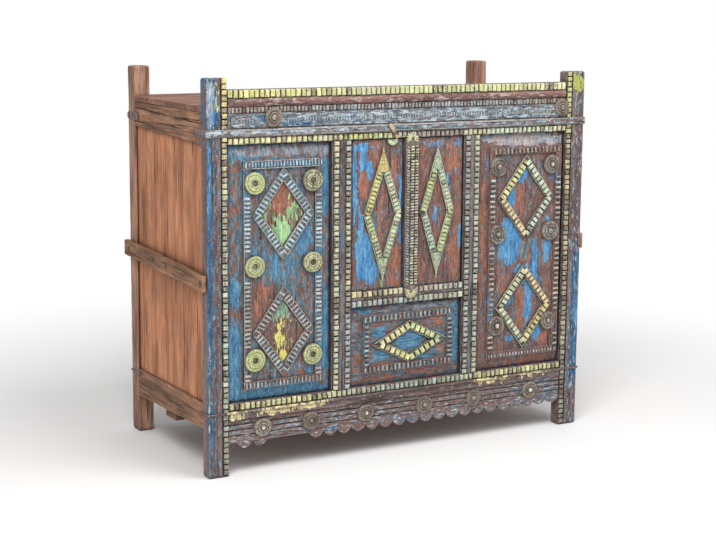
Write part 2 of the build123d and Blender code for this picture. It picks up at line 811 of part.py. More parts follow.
# ------------------------------------------------------------------ beaded strips
with BuildPart() as bead_strips_posts:
    for outer, inward, width in ((outer_left, 1, post_left_width),
                                 (outer_right, -1, post_right_width)):
        strip = across(outer, inward, width - post_strip_width, width)
        upright_strip(*strip, post_foot_chamfer, post_front_height)
finish(bead_strips_posts, "bead_strips_posts")


def muntin_strips(x0, x1):
    """The two beaded strips that flank a muntin's reed."""
    with BuildPart() as strips:
        inset = muntin_margin + muntin_strip_width
        upright_strip(x0 + muntin_margin, x0 + inset, sill_top, lintel, muntin_bead_pitch)
        upright_strip(x1 - inset, x1 - muntin_margin, sill_top, lintel, muntin_bead_pitch)
    return strips


finish(muntin_strips(*muntin_left_x), "bead_strips_muntin_left")
finish(muntin_strips(*muntin_right_x), "bead_strips_muntin_right")

with BuildPart() as bead_strips_cross:
    level_strip(*door_opening, cross_bottom, cross_bottom + cross_strip_height, True)
    level_strip(*door_opening, cross_top - cross_strip_height, cross_top, True)
finish(bead_strips_cross, "bead_strips_cross")

with BuildPart() as bead_strip_sill:
    level_strip(frame_left, frame_right, sill_strip_bottom, sill_top, True)
finish(bead_strip_sill, "bead_strip_sill")

with BuildPart() as bead_strip_lintel:
    level_strip(frame_left, frame_right, lintel, belt_bottom)
    rod(front_plane(strip_seat), (latch_x, latch_z), nail_radius + nail_fit, strip_seat,
        Mode.SUBTRACT)
finish(bead_strip_lintel, "bead_strip_lintel")

with BuildPart() as bead_row_frieze:
    timber(frame_left, crest_right, bead_row_crown, strip_seat, bead_row_bottom,
           crest_torus_bottom)
finish(bead_row_frieze, "bead_row_frieze")

with BuildPart() as bead_strip_crest:
    level_strip(frame_left, crest_right, crest_bottom, crest_top)
finish(bead_strip_crest, "bead_strip_crest")

# ------------------------------------------------------------------ plain mouldings
with BuildPart() as belt_moulding:
    rounded(side_plane(outer_left - belt_proud), 0, -belt_fillet, -belt_proud,
            belt_bottom, frieze_bottom, cabinet_width + 2 * belt_proud)
finish(belt_moulding, "belt_moulding")

with BuildPart() as crest_torus:
    rounded(side_plane(frame_left), strip_seat, crest_torus_fillet, -crest_torus_proud,
            crest_torus_bottom, crest_bottom, crest_right - frame_left)
finish(crest_torus, "crest_torus")

base_ridge_bottom = sill_strip_bottom - base_ridge_height
with BuildPart() as base_moulding:
    timber(frame_left, frame_right, 0, strip_seat, base_ridge_bottom, sill_strip_bottom)
    timber(frame_left, frame_right, base_band_depth, strip_seat, base_bottom, base_ridge_bottom)
    rounded(side_plane(frame_left), strip_seat, base_band_depth, base_reed_depth,
            base_bottom, base_bottom + base_reed_height, frame_right - frame_left)
finish(base_moulding, "base_moulding")

with BuildPart() as base_ridge:
    rounded(side_plane(outer_left - base_ridge_proud), 0, -belt_fillet, -base_ridge_proud,
            base_ridge_bottom, sill_strip_bottom, cabinet_width + 2 * base_ridge_proud)
finish(base_ridge, "base_ridge")


def side_returns(low, high, proud, front_length, rear_length, rear_rise):
    """Short ends of a front moulding, carried round onto the outer faces of the posts."""
    with BuildPart() as returns:
        for outer, inward, _ in sides.values():
            section = (outer, outer - inward * belt_fillet, outer - inward * proud)
            rounded(front_plane(0), *section, low, high, -front_length)
            rounded(front_plane(carcass_depth - rear_length), *section,
                    low + rear_rise, high + rear_rise, -rear_length)
    return returns


finish(
    side_returns(belt_bottom, frieze_bottom, belt_proud, belt_return_front, belt_return_rear,
                 belt_rear_rise),
    "belt_returns",
)
finish(
    side_returns(base_ridge_bottom, sill_strip_bottom, base_ridge_proud, base_return_front,
                 base_return_rear, base_rear_rise),
    "base_returns",
)


# ------------------------------------------------------------------ doors
def door_leaf(axis_x, free_edge, diamond_x, diamond_width, square_holes):
    """A plank door whose rounded hinge edge carries a pivot at each end."""
    with BuildPart() as leaf:
        with BuildSketch(level_plane(door_bottom)):
            near, far = sorted((axis_x, free_edge))
            rectangle(near, far, door_face, door_face + door_thickness)
            with Locations((axis_x, pivot_depth)):
                Circle(door_thickness / 2)
        extrude(amount=door_top - door_bottom)
        rod(level_plane(door_top), (axis_x, pivot_depth), pivot_radius, pivot_top_length)
        rod(level_plane(door_bottom - pivot_bottom_length), (axis_x, pivot_depth),
            pivot_radius, pivot_bottom_length)
        with BuildSketch(front_plane(door_face)):
            with Locations((diamond_x, (door_bottom + door_top) / 2)):
                diamond(diamond_width, door_diamond_height, door_diamond_band)
        extrude(amount=door_border_rise)
        for x, z, width, grip in square_holes:
            half = width / 2 + nail_fit
            timber(x - half, x + half, door_face - door_border_rise, door_face + grip,
                   z - half, z + half, Mode.SUBTRACT)
    return leaf


left_free_edge = meeting_line - door_meeting_gap / 2
right_free_edge = meeting_line + door_meeting_gap / 2
astragal_left = right_free_edge + astragal_setback
astragal_right = astragal_left + astragal_width
left_diamond_x = (door_opening[0] + left_free_edge) / 2 + door_diamond_shifts[0]
right_diamond_x = (astragal_right + door_opening[1]) / 2 + door_diamond_shifts[1]
staple_x = meeting_line + staple_in
staple_holes = [
    (staple_x + side * staple_spread / 2, staple_height, staple_width, staple_grip)
    for side in (-1, 1)
]
door_nail_x = meeting_line - door_nail_in
door_nail_hole = (door_nail_x, door_nail_height, nail_width, door_nail_grip)

finish(
    door_leaf(pivot_x["left"], left_free_edge, left_diamond_x, door_diamond_widths[0],
              [door_nail_hole]),
    "door_left",
)
finish(
    door_leaf(pivot_x["right"], right_free_edge, right_diamond_x, door_diamond_widths[1],
              staple_holes),
    "door_right",
)

with BuildPart() as astragal:
    upright_strip(astragal_left, astragal_right, door_bottom, door_top, astragal_pitch,
                  door_face, -astragal_proud)
    with BuildSketch(front_plane(-astragal_rail_gap)):
        lap_radius = astragal_width / 2
        top_lap = belt_bottom - fit_gap - lap_radius
        bottom_lap = cross_top - cross_strip_height + fit_gap + lap_radius
        astragal_middle = (astragal_left + astragal_right) / 2
        with Locations(*[(astragal_middle, z) for z in (top_lap, bottom_lap)]):
            Circle(lap_radius)
    extrude(amount=astragal_proud - astragal_rail_gap)
finish(astragal, "astragal")

with BuildPart() as half_rosette:
    with BuildSketch(front_plane(door_face)):
        with Locations((left_free_edge - half_rosette_in, door_top)):
            RegularPolygon(half_rosette_radius, petal_count)
        rectangle(*door_opening, door_top, lintel + belt_height, Mode.SUBTRACT)
    extrude(amount=half_rosette_thickness)
finish(half_rosette, "half_rosette")

door_stop_depths = (door_face + door_thickness + door_stop_gap, frame_back)
with BuildPart() as door_stops:
    timber(*door_opening, *door_stop_depths, lintel - door_stop_height, lintel)
    timber(*door_opening, *door_stop_depths, cross_top, cross_top + door_stop_height)
finish(door_stops, "door_stops")

# ------------------------------------------------------------------ door hardware
with BuildPart() as latch:
    with BuildSketch(front_plane(latch_back)):
        with Locations(Location((latch_x, latch_z, 0), (0, 0, -latch_angle))):
            with Locations(((latch_arms[1] - latch_arms[0]) / 2, 0)):
                Rectangle(sum(latch_arms), latch_width)
            Circle(nail_radius + pivot_fit, mode=Mode.SUBTRACT)
    extrude(amount=latch_thickness)
finish(latch, "latch")

with BuildPart() as latch_nail:
    rod(front_plane(nail_grip), (latch_x, latch_z), nail_radius, nail_grip - latch_face)
    timber(latch_x - nail_head / 2, latch_x + nail_head / 2, latch_face - nail_head_rise,
           latch_face, latch_z - nail_head / 2, latch_z + nail_head / 2)
finish(latch_nail, "latch_nail")

with BuildPart() as staple:
    root = door_face + staple_grip
    tip = door_face - staple_projection
    with BuildSketch(level_plane(staple_height - staple_width / 2)):
        for grow, mode in ((staple_width / 2, Mode.ADD), (-staple_width / 2, Mode.SUBTRACT)):
            half = staple_spread / 2 + grow
            front = tip + staple_width / 2 - grow
            shoulder = front + staple_bend
            bow = ((half, root), (half, shoulder), (half - staple_bend, front))
            outline = [(staple_x + dx, depth) for dx, depth in bow]
            outline += [(staple_x - dx, depth) for dx, depth in reversed(bow)]
            Polygon(*outline, align=None, mode=mode)
    extrude(amount=staple_width)
finish(staple, "staple")

with BuildPart() as door_nail:
    head_seat = door_face - door_border_rise
    for width, front, back in (
        (nail_width, head_seat, door_face + door_nail_grip),
        (nail_head, head_seat - nail_head_rise, head_seat),
    ):
        timber(door_nail_x - width / 2, door_nail_x + width / 2, front, back,
               door_nail_height - width / 2, door_nail_height + width / 2)
finish(door_nail, "door_nail")

# ------------------------------------------------------------------ sides
for name, (outer, inward, batten_middle) in sides.items():
    rail_x = across(outer, inward, side_rail_setback, side_rail_inner)
    tongue_x = across(outer, inward, *side_tongue)
    groove_x = across(outer, inward, *side_groove)
    tenon_depths = (post_front_depth - tenon_length, rear_face + tenon_length)

    with BuildPart() as side_rail_lower:
        side_band(*rail_x, post_front_depth, rear_face, lower_rail_low, lower_rail_high)
        side_band(*tongue_x, *tenon_depths, *side_tenon_edges[0])
        side_band(*groove_x, post_front_depth, rear_face,
                  raised(lower_rail_high, -groove_depth), lower_rail_high, Mode.SUBTRACT)
        timber(*rail_x, floor_bearer_front, floor_bearer_back,
               floor_underside - floor_bearer_height, floor_underside, Mode.SUBTRACT)
    finish(side_rail_lower, f"side_rail_lower_{name}")

    with BuildPart() as side_rail_upper:
        side_band(*rail_x, post_front_depth, rear_face, upper_rail_low, upper_rail_high)
        side_band(*tongue_x, *tenon_depths, *side_tenon_edges[1])
        side_band(*groove_x, post_front_depth, rear_face,
                  upper_rail_low, raised(upper_rail_low, groove_depth), Mode.SUBTRACT)
    finish(side_rail_upper, f"side_rail_upper_{name}")

    with BuildPart() as side_board_top:
        side_band(*rail_x, post_front_depth + side_top_end_gap, rear_face,
                  upper_rail_high, (top_underside, 0))
    finish(side_board_top, f"side_board_top_{name}")

    with BuildPart() as side_boards:
        reach = groove_depth - groove_end_gap
        first, last = post_front_depth - reach, rear_face + reach
        step = (last - first + board_gap) / side_board_count
        for board in range(side_board_count):
            start = first + board * step
            side_band(*tongue_x, start, start + step - board_gap,
                      raised(lower_rail_high, -reach), raised(upper_rail_low, reach))
        batten_nail_holes(outer, inward, batten_middle)
    finish(side_boards, f"side_boards_{name}")

    with BuildPart() as batten:
        low = batten_edge(batten_middle)
        side_band(*across(outer, inward, -batten_thickness, 0), batten_front,
                  carcass_depth + batten_overhang, low, raised(low, batten_height))
        batten_nail_holes(outer, inward, batten_middle)
    finish(batten, f"batten_{name}")

with BuildPart() as batten_nails:
    for outer, inward, batten_middle in sides.values():
        batten_nail_shanks(outer, inward, batten_middle, batten_nail_width)
        head = across(outer, inward, -batten_thickness - nail_head_rise, -batten_thickness)
        for place in batten_nail_places(batten_middle):
            with BuildSketch(side_plane(head[0])) as outline:
                with Locations(place):
                    Rectangle(batten_nail_head, batten_nail_head)
            extrude(outline.sketch, amount=nail_head_rise)
finish(batten_nails, "batten_nails")

# ------------------------------------------------------------------ back
back_left = outer_left + post_rear_width
back_right = outer_right - post_rear_width


def back_rail(low, high, tenon_heights, groove_low, housed=False):
    """A rail between the rear posts, grooved for the back boards, housed for the bearer."""
    with BuildPart() as rail:
        timber(back_left, back_right, back_rail_front, back_rail_back, low, high)
        timber(back_left - tenon_length, back_right + tenon_length, back_board_front,
               back_board_back, *tenon_heights)
        timber(back_left, back_right, *back_groove, groove_low, groove_low + groove_depth,
               Mode.SUBTRACT)
        if housed:
            timber(-top_bearer_width / 2, top_bearer_width / 2, back_rail_front,
                   back_rail_front + housing_depth, top_underside - top_bearer_height,
                   top_underside, Mode.SUBTRACT)
    return rail


finish(back_rail(back_bottom_rail_bottom, back_bottom_rail_top, back_tenon_heights[0],
                 back_bottom_rail_top - groove_depth), "rail_back_bottom")
finish(back_rail(lintel, top_underside, back_tenon_heights[1], lintel, True), "rail_back_top")

with BuildPart() as back_boards:
    reach = groove_depth - groove_end_gap
    first, last = back_left - reach, back_right + reach
    step = (last - first + board_gap) / back_board_count
    for board in range(back_board_count):
        start = first + board * step
        timber(start, start + step - board_gap, back_board_front, back_board_back,
               back_bottom_rail_top - reach, lintel + reach)
finish(back_boards, "back_boards")


# ------------------------------------------------------------------ top and floor
def clear_posts(low, high):
    """Cut the four posts, with a little room round them, out of the piece being made."""
    for outer, inward, width in ((outer_left, 1, post_left_width),
                                 (outer_right, -1, post_right_width)):
        front = across(outer, inward, 0, width + fit_gap)
        rear = across(outer, inward, 0, post_rear_width + fit_gap)
        timber(*front, 0, post_front_depth + fit_gap, low, high, Mode.SUBTRACT)
        timber(*rear, rear_face - fit_gap, carcass_depth, low, high, Mode.SUBTRACT)


with BuildPart() as top_boards:
    first, last = frame_back - housing_depth + fit_gap, carcass_depth
    step = (last - first + board_gap) / top_board_count
    for board in range(top_board_count):
        start = first + board * step
        timber(outer_left + side_rail_setback, outer_right - side_rail_setback,
               start, start + step - board_gap, top_underside, top_surface)
    clear_posts(top_underside, top_surface)
    for x0, x1 in ((outer_left, frame_left), (frame_right, outer_right)):
        timber(x0, x1, 0, post_front_depth + fit_gap, top_underside, top_surface,
               Mode.SUBTRACT)
finish(top_boards, "top_boards")

with BuildPart() as top_bearer:
    timber(-top_bearer_width / 2, top_bearer_width / 2, frame_back - housing_depth,
           back_rail_front + housing_depth, top_underside - top_bearer_height, top_underside)
finish(top_bearer, "top_bearer")

with BuildPart() as floor_boards:
    floor_left = outer_left + side_rail_inner + fit_gap
    floor_right = outer_right - side_rail_inner - fit_gap
    step = (floor_right - floor_left + board_gap) / floor_board_count
    for board in range(floor_board_count):
        start = floor_left + board * step
        timber(start, start + step - board_gap, apron_back + fit_gap,
               back_rail_front - fit_gap, floor_underside, floor_top)
    clear_posts(floor_underside, floor_top)
finish(floor_boards, "floor_boards")

with BuildPart() as floor_ledgers:
    heights = (floor_underside - ledger_height, floor_underside)
    timber(frame_left + fit_gap, frame_right - fit_gap, apron_back,
           apron_back + ledger_width, *heights)
    timber(back_left + fit_gap, back_right - fit_gap, back_rail_front - ledger_width,
           back_rail_front, *heights)
finish(floor_ledgers, "floor_ledgers")

with BuildPart() as floor_bearer:
    timber(outer_left + floor_bearer_setback, outer_right - floor_bearer_setback,
           floor_bearer_front, floor_bearer_back, floor_underside - floor_bearer_height,
           floor_underside)
finish(floor_bearer, "floor_bearer")
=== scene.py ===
# %% [markdown]
# # A carved and painted dowry cabinet
# The cabinet comes in as a fixed frame: every timber, panel and door is already at its size
# and place. This lesson dresses that frame. It adds the beads, the chip carving and the
# rosettes, wears the timbers down, and lays old paint over old wood.

# %% load the frame
import math
import random
from contextlib import contextmanager

import bpy
import numpy as np
from mathutils import Matrix, Vector


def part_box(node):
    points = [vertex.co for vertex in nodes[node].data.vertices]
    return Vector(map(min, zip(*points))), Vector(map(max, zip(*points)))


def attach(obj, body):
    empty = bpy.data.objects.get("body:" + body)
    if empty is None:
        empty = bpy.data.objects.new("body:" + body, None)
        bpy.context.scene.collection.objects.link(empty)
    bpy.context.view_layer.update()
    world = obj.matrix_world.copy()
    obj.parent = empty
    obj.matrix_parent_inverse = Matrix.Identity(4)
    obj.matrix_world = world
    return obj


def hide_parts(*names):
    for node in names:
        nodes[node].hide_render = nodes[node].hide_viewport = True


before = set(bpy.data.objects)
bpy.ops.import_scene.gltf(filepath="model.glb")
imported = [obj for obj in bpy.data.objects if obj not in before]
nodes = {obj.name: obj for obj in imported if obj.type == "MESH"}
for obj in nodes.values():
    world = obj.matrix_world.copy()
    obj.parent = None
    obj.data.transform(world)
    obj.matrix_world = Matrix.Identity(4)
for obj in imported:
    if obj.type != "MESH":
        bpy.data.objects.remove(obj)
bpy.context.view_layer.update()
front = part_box("post_front_left")[0].y
print("nodes", len(nodes), "front face at", round(front, 4))


def span(node):
    """The box of a node seen from the front: x0, x1, z0, z1 in millimetres."""
    low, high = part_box(node)
    return [round(v * 1000, 3) for v in (low.x, high.x, low.z, high.z)]


# %% [markdown]
# ## The camera
# Furniture is pictured with a long lens from the front left, a little above eye level, so
# that the front and one side show and the uprights stay upright. The camera is given by its
# place and three turns: how far it looks to the right, how far down, and a slight tilt.

# %% camera
CAMERA_PLACE = (-2.42207, -4.35823, 1.42147)
CAMERA_TURNS = (29.083, -8.728, 0.427)
LENS, SENSOR, SHIFT = 76.11, 36, -0.05

yaw, pitch, roll = (math.radians(angle) for angle in CAMERA_TURNS)
ahead = Vector((math.sin(yaw) * math.cos(pitch), math.cos(yaw) * math.cos(pitch),
                math.sin(pitch)))
level = Vector((math.cos(yaw), -math.sin(yaw), 0))
upward = level.cross(ahead)
side_axis = math.cos(roll) * level + math.sin(roll) * upward
up_axis = math.cos(roll) * upward - math.sin(roll) * level
camera = bpy.data.objects.new("camera", bpy.data.cameras.new("camera"))
camera.data.lens = LENS
camera.data.sensor_width = SENSOR
camera.data.shift_y = SHIFT
camera.matrix_world = Matrix.Translation(CAMERA_PLACE) @ Matrix(
    (side_axis, up_axis, -ahead)).transposed().to_4x4()
bpy.context.scene.collection.objects.link(camera)
bpy.context.scene.camera = camera
print("camera looks", [round(v, 3) for v in ahead])

# %% [markdown]
# ## Working with nodes
# Every finish here is a small network of nodes. One helper adds a node, sets it and wires it,
# and gives back its output, so that a finish reads from top to bottom like a recipe. Colours
# are written as they look on a screen, from 0 to 255.


# %% node helpers
def colour(red, green, blue):
    """A colour as it looks on a screen, turned into the light values that Blender works in."""
    def light(value):
        value /= 255
        return value / 12.92 if value <= 0.04045 else ((value + 0.055) / 1.055) ** 2.4
    return (light(red), light(green), light(blue), 1)


def put(tree, kind, inputs, output=0, **settings):
    """Add one node with its settings and inputs, and give back one of its outputs."""
    node = tree.nodes.new("ShaderNode" + kind)
    for name, value in settings.items():
        setattr(node, name, value)
    for name, value in inputs.items():
        if isinstance(value, bpy.types.NodeSocket):
            tree.links.new(value, node.inputs[name])
        else:
            node.inputs[name].default_value = value
    return node.outputs[output]


def calc(tree, operation, a, b=0.0):
    """One step of arithmetic."""
    return put(tree, "Math", {0: a, 1: b}, operation=operation)


def add(tree, amount, extra, share):
    """An amount with a share of something else added."""
    return calc(tree, "ADD", amount, calc(tree, "MULTIPLY", extra, share))


def fade(tree, value, low, high):
    """A soft threshold: 0 below low, 1 above high."""
    return put(tree, "MapRange", {"Value": value, "From Min": low, "From Max": high},
               interpolation_type="SMOOTHSTEP")


def between(tree, value, low, high, least, most):
    """A value between low and high, drawn out to lie between least and most."""
    return put(tree, "MapRange", {"Value": value, "From Min": low, "From Max": high,
                                  "To Min": least, "To Max": most})


def mix(tree, amount, first, second, mode="MIX"):
    """Two colours mixed by an amount."""
    return put(tree, "Mix", {0: amount, 6: first, 7: second}, 2, data_type="RGBA",
               blend_type=mode)


def vector(tree, operation, first, second=None, output=0):
    """One step of arithmetic with vectors."""
    inputs = {0: first} if second is None else {0: first, 1: second}
    return put(tree, "VectorMath", inputs, output, operation=operation)


def parts_of(tree, value):
    """The three parts of a vector."""
    return put(tree, "SeparateXYZ", {0: value}).node.outputs


def spots(tree, size, seed, detail=3.0, along="", stretch=8.0):
    """Noise of a given size in metres, drawn out along the axis that the grain follows."""
    scale = [1 / size / (stretch if axis == along else 1) for axis in "xyz"]
    moved = put(tree, "Mapping", {"Vector": put(tree, "TexCoord", {}, 3), "Scale": scale,
                                  "Location": (seed, seed * 1.7, seed * 0.6)})
    return put(tree, "TexNoise", {"Vector": moved, "Scale": 1.0, "Detail": detail,
                                  "Roughness": 0.62})


print("a mid blue in light values", [round(v, 3) for v in colour(70, 130, 185)])

# %% [markdown]
# ## Light and floor
# A soft studio: an even white surround gives most of the light, and three large lamps, one
# high on the left, one overhead and a weak one on the right, shape the carving. The surround
# shows as plain white, and the pale floor keeps only the cabinet's soft shadow.

# %% light and floor
SURROUND = 0.5
WHITE = (1, 1, 1, 1)
FLOOR_SIZE, FLOOR_GREY = 40, 0.9
FLOOR_FADE = (0.9, 2.6)  # metres from the middle where the floor turns plain white
LAMPS = (("key", (-2.2, -2.6, 3.4), 1.8, 95),
         ("overhead", (0.4, -1.6, 3.4), 1.6, 55),
         ("fill", (2.6, -3.4, 1.4), 2.4, 16))

world = bpy.data.worlds.new("studio")
bpy.context.scene.world = world
world.use_nodes = True
sky = world.node_tree
surround = sky.nodes["Background"]
surround.inputs["Color"].default_value = WHITE
surround.inputs["Strength"].default_value = SURROUND
plain_white = put(sky, "Background", {"Color": WHITE, "Strength": 1.0})
rays = sky.nodes.new("ShaderNodeLightPath")
seen = calc(sky, "MAXIMUM", rays.outputs["Is Camera Ray"], rays.outputs["Is Glossy Ray"])
both = put(sky, "MixShader", {0: seen, 1: surround.outputs[0], 2: plain_white})
sky.links.new(both, sky.nodes["World Output"].inputs["Surface"])

for name, place, size, power in LAMPS:
    lamp = bpy.data.objects.new(name, bpy.data.lights.new(name, "AREA"))
    lamp.data.size = size
    lamp.data.energy = power
    lamp.location = place
    aim = Vector((0, 0, 0.6)) - lamp.location
    lamp.rotation_euler = aim.to_track_quat("-Z", "Y").to_euler()
    bpy.context.scene.collection.objects.link(lamp)

bpy.ops.mesh.primitive_plane_add(size=FLOOR_SIZE, location=(0, 0, 0))
floor = bpy.context.object
floor.name = "floor"
ground = bpy.data.materials.new("studio_floor")
ground.use_nodes = True
plan = ground.node_tree
matt = plan.nodes["Principled BSDF"]
matt.inputs["Base Color"].default_value = (FLOOR_GREY, FLOOR_GREY, FLOOR_GREY, 1)
matt.inputs["Roughness"].default_value = 0.9
away = vector(plan, "LENGTH", put(plan, "TexCoord", {}, 3), output=1)
rays = plan.nodes.new("ShaderNodeLightPath")
far = calc(plan, "MULTIPLY", fade(plan, away, *FLOOR_FADE), rays.outputs["Is Camera Ray"])
glow = put(plan, "Emission", {"Color": WHITE, "Strength": 1.0})
shown = put(plan, "MixShader", {0: far, 1: matt.outputs[0], 2: glow})
plan.links.new(shown, plan.nodes["Material Output"].inputs["Surface"])
floor.data.materials.append(ground)
bpy.context.scene.view_settings.view_transform = "Standard"

# %% [markdown]
# ## Old wood
# All timbers are of one dark hardwood. Its colour runs in streaks along the grain, from a
# dark purple grey where dirt has settled to a warm brown where hands have rubbed it. Fine
# cracks follow the grain too. The streaks are noise drawn out along the grain's axis, so
# that one recipe serves posts, rails and planks.


# %% wood recipe
BLEACHED = colour(168, 156, 150)
DUST = colour(196, 196, 186)
# The pale of worn edges, which is also a painted highlight along them.
EDGE_WEAR_AND_HIGHLIGHT = colour(214, 206, 190)
CORNER_SHADE = (0.34, 0.34, 0.34, 1)  # what painted shade leaves of the colour deep in a corner


def old_wood(tree, grain, dark, middle, warm, seed):
    """Streaked wood colour, and the height of its grain for the bump."""
    broad = spots(tree, 0.045, seed, 4, grain, 11)
    fine = spots(tree, 0.006, seed + 3, 5, grain, 24)
    body = mix(tree, fade(tree, broad, 0.36, 0.66), middle, warm)
    streaked = mix(tree, fade(tree, calc(tree, "ADD", broad, fine), 0.62, 1.12), dark, body)
    bleached = fade(tree, spots(tree, 0.004, seed + 6, 3, grain, 18), 0.56, 0.7)
    streaked = mix(tree, calc(tree, "MULTIPLY", bleached, 0.4), streaked, BLEACHED)
    cracks = fade(tree, spots(tree, 0.009, seed + 9, 2, grain, 30), 0.31, 0.38)
    lined = mix(tree, cracks, [v * 0.42 for v in dark[:3]] + [1], streaked)
    return lined, add(tree, calc(tree, "MULTIPLY", fine, 0.6), cracks, 0.7)


def finish_off(tree, base, height, rough, grain="z", depth=0.0018, reach=0.018, edge_wear_and_highlight=0.5,
               age=1.0, run=3.5):
    """Speckle the surface, pale its edges as wear and a painted highlight, paint shade into its
    corners, and add the bump.
    """
    mottle = spots(tree, 0.0062, 51, 5, grain, run)
    light = between(tree, mottle, 0.32, 0.68, 1 - 0.42 * age, 1 + 0.38 * age)
    base = mix(tree, 1.0, base, light, "MULTIPLY")
    dust = fade(tree, spots(tree, 0.0036, 53, 3, grain, 2), 0.6, 0.68)
    base = mix(tree, calc(tree, "MULTIPLY", dust, 0.42 * age), base, DUST)
    # Edges turn pale: wear, and a painted highlight along every edge.
    same = vector(tree, "DOT_PRODUCT", put(tree, "Bevel", {"Radius": 0.003}, samples=4),
                  put(tree, "NewGeometry", {}, 1), 1)
    edges = fade(tree, calc(tree, "SUBTRACT", 1.0, same), 0.01, 0.12)
    base = mix(tree, calc(tree, "MULTIPLY", edges, edge_wear_and_highlight), base, mix(tree, 0.5, base, EDGE_WEAR_AND_HIGHLIGHT))
    # Painted shade: ambient occlusion darkens the colour in corners and recesses.
    shade = put(tree, "AmbientOcclusion", {"Distance": reach}, 1, samples=4)
    painted_corner_shade = mix(tree, fade(tree, shade, 0.25, 0.95), CORNER_SHADE, WHITE)
    soft = put(tree, "Bevel", {"Radius": 0.0014}, samples=4)
    bump = put(tree, "Bump", {"Height": height, "Distance": depth, "Strength": 0.8,
                              "Normal": soft})
    shader = tree.nodes["Principled BSDF"]
    tree.links.new(mix(tree, 1.0, base, painted_corner_shade, "MULTIPLY"), shader.inputs["Base Color"])
    tree.links.new(bump, shader.inputs["Normal"])
    shader.inputs["Roughness"].default_value = rough
    shader.inputs["Specular IOR Level"].default_value = 0.3


def new_finish(name):
    """An empty finish with its node tree."""
    material = bpy.data.materials.new(name)
    material.use_nodes = True
    return material, material.node_tree


def bare(name, grain, dark, middle, warm, seed=1, rough=0.8, age=0.45):
    """A finish of old wood with no paint, darker and lighter in broad patches."""
    material, tree = new_finish(name)
    base, height = old_wood(tree, grain, colour(*dark), colour(*middle), colour(*warm), seed)
    weather = between(tree, spots(tree, 0.08, seed + 30, 6, grain, 2), 0.36, 0.64, 0.72, 1.18)
    base = mix(tree, 1.0, base, weather, "MULTIPLY")
    finish_off(tree, base, height, rough, grain, age=age, run=16)
    return material


umber = colour(78, 62, 58)
brown = colour(126, 86, 72)
rust = colour(158, 102, 78)
plum = colour(120, 106, 106)
print("wood colours", [round(v, 3) for v in brown[:3]])

# %% [markdown]
# ## Old paint
# The paint was brushed on in one coat over another and has come off in patches that follow
# the grain. Each coat is given a colour, how much of it is left, and the places where it
# is thick or gone. Where the noise passes a threshold there is paint, with a ragged edge.
# Masks push the threshold up or down: a daub inside an oval, a lozenge inside a diamond, a
# rim of painted shade along the inside of an opening, and a line of dirt and painted shade
# along a groove. Their places are millimetres on the front, and the last number of each is
# how hard it pushes.


# %% paint recipe
NOISE_MIDDLE = 0.8  # what the noise of a coat adds up to on average
PAINT_EDGE = (0.46, 0.55)  # where bare wood ends and full paint begins
PAINT_ROUGH = 0.62
WANDER = (0.022, 0, 0.05)  # metres over which the edge of a daub wanders


def centred(tree, place, x, z, half_width, half_height):
    """A place on the front, measured from a middle in half widths and half heights."""
    moved = vector(tree, "SUBTRACT", place, (x / 1000, 0, z / 1000))
    return vector(tree, "MULTIPLY", moved, (1000 / half_width, 0, 1000 / half_height))


def daub(tree, ragged, x, z, half_width, half_height):
    """1 in the middle of an oval on the front, 0 outside it."""
    length = vector(tree, "LENGTH", centred(tree, ragged, x, z, half_width, half_height), output=1)
    return calc(tree, "SUBTRACT", 1.0, fade(tree, length, 0.55, 1.25))


def lozenge(tree, place, x, z, half_width, half_height, inner):
    """1 between the outer edge of a diamond on the front and a share of it, 0 elsewhere."""
    parts = parts_of(tree, vector(tree, "ABSOLUTE", centred(tree, place, x, z, half_width,
                                                            half_height)))
    reach = calc(tree, "ADD", parts[0], parts[2])
    inside = calc(tree, "SUBTRACT", 1.0, fade(tree, reach, 0.97, 1.03))
    return calc(tree, "MULTIPLY", inside, fade(tree, reach, inner - 0.03, inner + 0.03))


def frame_of(tree, place, x0, x1, z0, z1, width):
    """1 along the inside of a rectangle on the front, 0 further in than a width."""
    middle = (x0 + x1) / 2000, 0, (z0 + z1) / 2000
    parts = parts_of(tree, vector(tree, "ABSOLUTE", vector(tree, "SUBTRACT", place, middle)))
    near = [fade(tree, parts[axis], half / 1000 - width / 1000, half / 1000)
            for axis, half in ((0, (x1 - x0) / 2), (2, (z1 - z0) / 2))]
    return calc(tree, "MAXIMUM", *near)


